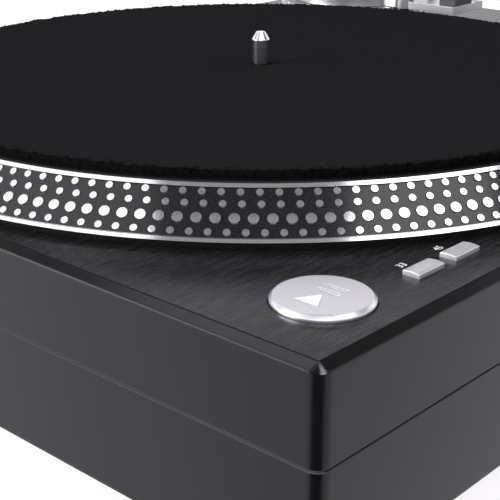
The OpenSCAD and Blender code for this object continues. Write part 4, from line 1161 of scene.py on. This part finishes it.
class TURNTABLE_OT_fader_scale(bpy.types.Operator):
    """Prints the pitch scale beside the fader, and the line on its knob"""

    bl_idname = "turntable.fader_scale"
    bl_label = "Pitch scale"

    TRAVEL = 100 * MM
    STEPS = 16
    NUMBERS = ("8", "4", "0", "4", "8")
    SHORT, LONG = 2.4 * MM, 4.2 * MM
    GAP = 2.0 * MM
    LETTER_GAP = 0.6
    DIP = 2.0 * MM

    def execute(self, context):
        sizes = settings().print
        low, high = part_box("fader_plate")
        start = Vector((low.x - self.GAP, (low.y + high.y) / 2 + self.TRAVEL / 2, PLATE.z))
        last = len(self.NUMBERS) - 1
        self.print_marks("fader_marks_short", start, self.SHORT, self.STEPS)
        self.print_marks("fader_marks_long", start, self.LONG, last)
        for index, number in enumerate(self.NUMBERS):
            at = start - Vector((self.LONG + sizes.scale_digit * self.LETTER_GAP, 0, 0))
            at.y -= self.TRAVEL * index / last
            at.z += sizes.thickness / 2
            print_text(f"fader_number_{index}", number, sizes.scale_digit, at, "root")
        low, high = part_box("pitch_knob")
        at = Vector(((low.x + high.x) / 2, (low.y + high.y) / 2, high.z - self.DIP))
        complete(model_strip("fader_knob_line", at, high.x - low.x, sizes.mark), ink(), "pitch_slider")
        return {"FINISHED"}

    def print_marks(self, name, start, length, steps):
        """Prints a column of even marks down the fader's travel."""
        marks = model_strip(name, start - Vector((length / 2, 0, 0)), length, settings().print.mark)
        modify(marks, "ARRAY", count=steps + 1, use_relative_offset=False, use_constant_offset=True,
               constant_offset_displace=(0, -self.TRAVEL / steps, 0))
        complete(marks, ink(), "root")


class TURNTABLE_OT_arm_scales(bpy.types.Operator):
    """Prints the scales on the force dial, the anti-skate dial and the height ring"""

    bl_idname = "turntable.arm_scales"
    bl_label = "Tonearm scales"

    SKATE_NUMBERS, SKATE_STEPS = 8, 9
    SKATE_REACH, HEIGHT_REACH = 0.66, 0.94
    HEIGHT_MARKS, FORCE_MARKS = 60, 40
    MARK_LENGTH = 2.2 * MM

    def execute(self, context):
        sizes = settings().print
        skate = middle("anti_skate_dial")
        skate.z = top("anti_skate_dial") + sizes.thickness / 2
        radius = (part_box("anti_skate_dial")[1].x - skate.x) * self.SKATE_REACH
        for number in range(self.SKATE_NUMBERS):
            angle = math.tau * number / self.SKATE_STEPS
            at = skate + Vector((math.sin(angle), math.cos(angle), 0)) * radius
            print_text(f"skate_number_{number}", str(number), sizes.dial_digit, at, "anti_skate_dial",
                       turn=-angle, dark=True)
        ring = Vector((ARM.x, ARM.y, top("height_ring")))
        first = ring + Vector(((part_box("height_ring")[1].x - ring.x) * self.HEIGHT_REACH, 0, 0))
        marks = model_strip("height_marks", first, self.MARK_LENGTH, sizes.mark)
        self.print_ring(marks, ring, UP, self.HEIGHT_MARKS, "height_ring", dark=True)
        dial = middle("force_dial")
        first = Vector((dial.x, dial.y, top("force_dial")))
        marks = model_strip("force_marks", first, sizes.mark, self.MARK_LENGTH)
        self.print_ring(marks, dial, Vector((0, 1, 0)), self.FORCE_MARKS, "force_dial")
        return {"FINISHED"}

    def print_ring(self, marks, centre, axis, count, body, dark=False):
        """Repeats a mark round the axis of a dial."""
        edit(True)
        spin_copies(count, centre, axis)
        face_outwards()
        edit(False)
        complete(marks, ink(dark), body)


class TURNTABLE_OT_arm(bpy.types.Operator):
    """Finishes the tonearm, its base, its weight and its headshell"""

    bl_idname = "turntable.arm"
    bl_label = "Tonearm finishes"

    def execute(self, context):
        colours = settings().colours
        weight, skate = (tuple(middle(node)) for node in ("counterweight", "anti_skate_dial"))
        dress(finish("arm_turned", lathe_metal, colours.arm, centre=on_plan(ARM), rough=0.28),
              "arm_mount", "height_ring", "arm_base", "gimbal_ring")
        dress(finish("arm_bright", lathe_metal, colours.bright, centre=weight, rough=0.1, lying=True),
              "counterweight_rod", "arm_pivot_block", "headshell_collar")
        heavy = shade(colours.arm, 1.1)
        dress(finish("weight_metal", lathe_metal, heavy, centre=weight, rough=0.25, lying=True),
              "counterweight")
        dress(finish("chrome_tube", plated_metal, colours.bright, rough=0.06), "arm_tube")
        dress(finish("shell_metal", plated_metal, colours.arm, rough=0.3), "headshell")
        dress(finish("dial_silver", lathe_metal, colours.silver, centre=skate, rough=0.3), "anti_skate_dial")
        dress(finish("lever_silver", plated_metal, colours.silver, rough=0.25), "cue_lever")
        dress(black_plastic(), "arm_rest", "arm_clip", "force_dial", "cartridge")
        dress(black_rubber(), "lift_rail")
        dress(plated_steel(), "pivot_screws", "headshell_screws")
        dress(finish("stylus_gloss", pale_moulding, STYLUS_RED), "stylus")
        return {"FINISHED"}


class TURNTABLE_OT_insides(bpy.types.Operator):
    """Finishes the motor, the boards, the supply and the sockets"""

    bl_idname = "turntable.insides"
    bl_label = "Inside and socket finishes"

    def execute(self, context):
        dress(plated_steel(), "foot_bolts", "plinth_screws", "motor_frame", "motor_screws", "board_screws",
              "ground_post", "fader_body")
        dress(finish("warm_brass", plated_metal, BRASS, rough=0.2),
              "bearing_housing", "phono_sockets", "ground_nut")
        dress(finish("wound_copper", wound_copper, COPPER), "stator_coils")
        dress(finish("circuit_board", circuit_board, BOARD_GREEN),
              "stator_board", "control_board", "power_board")
        dress(finish("stacked_core", stacked_core, CORE_IRON), "power_transformer", "rotor_magnet")
        dress(black_plastic(), "tact_switches", "mains_inlet", "rear_panel")
        dress(pale_plastic(), "thrust_pad")
        return {"FINISHED"}


class TURNTABLE_OT_studio(bpy.types.Operator):
    """Sets the floor, the softboxes, the room's light and the camera"""

    bl_idname = "turntable.studio"
    bl_label = "Studio"

    CAMERA = Vector((-0.41521, -0.32734, 0.20820))
    TARGET = Vector((-0.17877, -0.11181, 0.08502))
    NEAREST = 0.01
    # Each softbox overhead: its edges to the side and to the camera, as shares of its height, and its glow
    OVERHEAD = {
        "softbox_right": ((0.325, 0.95), (-0.2, 0.65), 1.9),
        "softbox_left": ((-1.4, -0.39), (-0.35, 0.6), 0.88),
        "softbox_far": ((-0.5, 0.1), (-0.98, -0.48), 1.35),
    }
    # Each upright softbox: its distance from the front corner, its width and its height
    BACK, FRONT = (1.5, 1.1, 0.8), (1.3, 1.0, 0.8)
    BACK_WAY = Vector((-0.77, 0.58, 0.27))
    FRONT_CLIMB = 0.93
    LAMP_TINT = (1.0, 0.975, 1.02)
    ROOM_TINT = (1.0, 0.965, 1.03, 1.0)
    # Climbs over which the backdrop fades out and the room overhead fades in
    BACKDROP_END, SKY_START = (0.44, 0.52), (0.6, 0.9)
    SKY_LEAST = 0.4
    FLOOR_SIZE, FLOOR_CUTS = 8.0, 8
    CARD_TURN = math.radians(-8)
    CARD_CORNER = 0.02

    def execute(self, context):
        studio = settings().studio
        towards = ((self.CAMERA - self.TARGET) * Vector((1, 1, 0))).normalized()
        self.lay_floor(studio)
        self.lay_card(studio, towards)
        self.light_room(context.scene, studio)
        sideways = UP.cross(towards)
        for name, (sides, depths, share) in self.OVERHEAD.items():
            centre = SPINDLE + UP * studio.height
            centre += (sideways * sum(sides) + towards * sum(depths)) * studio.height / 2
            width, depth = ((high - low) * studio.height for low, high in (sides, depths))
            self.hang_softbox(name, centre, UP, sideways, width, depth, studio.glow * share)
        self.stand_softbox("softbox_back", self.BACK_WAY, *self.BACK, studio.strip)
        self.stand_softbox("softbox_front", towards + UP * self.FRONT_CLIMB, *self.FRONT, studio.front)
        self.set_camera(context.scene, studio)
        context.scene.view_settings.view_transform = "Standard"
        return {"FINISHED"}

    def lay_floor(self, studio):
        """A wide pale floor under the feet."""
        floor = begin("floor", bpy.ops.mesh.primitive_plane_add, size=self.FLOOR_SIZE)
        edit(True)
        bpy.ops.mesh.subdivide(number_cuts=self.FLOOR_CUTS)
        edit(False)
        floor.data.materials.append(finish("pale_floor", pale_floor, studio.floor))

    def lay_card(self, studio, towards):
        """A dark square card that points at the front corner from outside, and that only reflections show."""
        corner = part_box("lower_plinth")[0] * Vector((1, 1, 0))
        ahead = Matrix.Rotation(self.CARD_TURN, 3, "Z") @ towards
        card = begin("dark_card", bpy.ops.mesh.primitive_circle_add, vertices=4, radius=studio.card,
                     fill_type="NGON", location=corner + ahead * studio.card + UP * MM,
                     rotation=(0, 0, math.atan2(ahead.y, ahead.x)))
        edit(True)
        bpy.ops.mesh.bevel(offset=self.CARD_CORNER, segments=4, affect="VERTICES")
        edit(False)
        card.data.materials.append(finish("dark_card", soft_rubber, settings().colours.black))
        for light in ("camera", "diffuse", "shadow", "transmission"):
            setattr(card, f"visible_{light}", False)

    def light_room(self, scene, studio):
        """A room that is bright round the table and dim overhead."""
        world = bpy.data.worlds.new("studio_room")
        world.use_nodes = True
        scene.world = world
        tree = world.node_tree
        tree.nodes.clear()
        climb = height_of(tree, add(tree, "ShaderNodeTexCoord").outputs["Generated"])
        backdrop = span(tree, climb, studio.horizon, 0.0, *self.BACKDROP_END)
        overhead = span(tree, climb, studio.sky * self.SKY_LEAST, studio.sky, *self.SKY_START)
        glow = reckon(tree, "MAXIMUM", backdrop, overhead)
        background = add(tree, "ShaderNodeBackground", {"Color": self.ROOM_TINT, "Strength": glow})
        add(tree, "ShaderNodeOutputWorld", {"Surface": background.outputs[0]})

    def stand_softbox(self, name, way, distance, width, height, glow):
        """Stands a softbox some way off, facing the front corner."""
        way = way.normalized()
        across = UP.cross(way).normalized()
        self.hang_softbox(name, self.TARGET + way * distance, way, across, width, height, glow)

    def hang_softbox(self, name, centre, back, across, width, depth, glow):
        """Hangs one softbox that shines away from its back."""
        lamp = bpy.data.lights.new(name, "AREA")
        lamp.shape = "RECTANGLE"
        lamp.size, lamp.size_y = width, depth
        lamp.energy = glow * math.pi * width * depth
        lamp.color = self.LAMP_TINT
        softbox = bpy.data.objects.new(name, lamp)
        axes = Matrix((across, back.cross(across), back)).transposed()
        softbox.matrix_world = Matrix.Translation(centre) @ axes.to_4x4()
        softbox.visible_camera = False
        bpy.context.scene.collection.objects.link(softbox)

    def set_camera(self, scene, studio):
        """The photograph's camera, low at the front left corner."""
        camera = bpy.data.objects.new("camera", bpy.data.cameras.new("camera"))
        camera.data.lens = studio.lens
        camera.data.clip_start = self.NEAREST
        camera.location = self.CAMERA
        camera.rotation_euler = (self.TARGET - self.CAMERA).to_track_quat("-Z", "Y").to_euler()
        scene.collection.objects.link(camera)
        scene.camera = camera


class TURNTABLE_PT_panel(bpy.types.Panel):
    """Lists the turntable's settings and the operators that dress it"""

    bl_idname = "TURNTABLE_PT_panel"
    bl_label = "Turntable"
    bl_space_type = "VIEW_3D"
    bl_region_type = "UI"
    bl_category = "Turntable"

    def draw(self, context):
        layout = self.layout
        for group in TurntableSettings.__annotations__:
            box = layout.box()
            box.label(text=group.capitalize())
            values = getattr(settings(), group)
            for name in values.__annotations__:
                box.prop(values, name)
        for operator in OPERATORS:
            layout.operator(operator.bl_idname)


OPERATORS = (
    TURNTABLE_OT_plinth, TURNTABLE_OT_platter, TURNTABLE_OT_slipmat, TURNTABLE_OT_rim_dots,
    TURNTABLE_OT_controls, TURNTABLE_OT_start_sign, TURNTABLE_OT_speed_numbers, TURNTABLE_OT_fader_scale,
    TURNTABLE_OT_arm, TURNTABLE_OT_arm_scales, TURNTABLE_OT_insides, TURNTABLE_OT_studio,
)
CLASSES = (
    FinishColours, SlipmatSizes, RimDotSizes, PrintSizes, StudioSettings, TurntableSettings,
    *OPERATORS, TURNTABLE_PT_panel,
)


def register():
    """Adds the classes and the scene's settings."""
    for item in CLASSES:
        bpy.utils.register_class(item)
    bpy.types.Scene.turntable = PointerProperty(type=TurntableSettings)


def unregister():
    """Removes the settings and the classes."""
    del bpy.types.Scene.turntable
    for item in reversed(CLASSES):
        bpy.utils.unregister_class(item)


def main():
    """Dresses the whole turntable."""
    register()
    bpy.ops.turntable.plinth()
    bpy.ops.turntable.platter()
    bpy.ops.turntable.slipmat()
    bpy.ops.turntable.rim_dots()
    bpy.ops.turntable.controls()
    bpy.ops.turntable.start_sign()
    bpy.ops.turntable.speed_numbers()
    bpy.ops.turntable.fader_scale()
    bpy.ops.turntable.arm()
    bpy.ops.turntable.arm_scales()
    bpy.ops.turntable.insides()
    bpy.ops.turntable.studio()


if __name__ == "__main__":
    main()
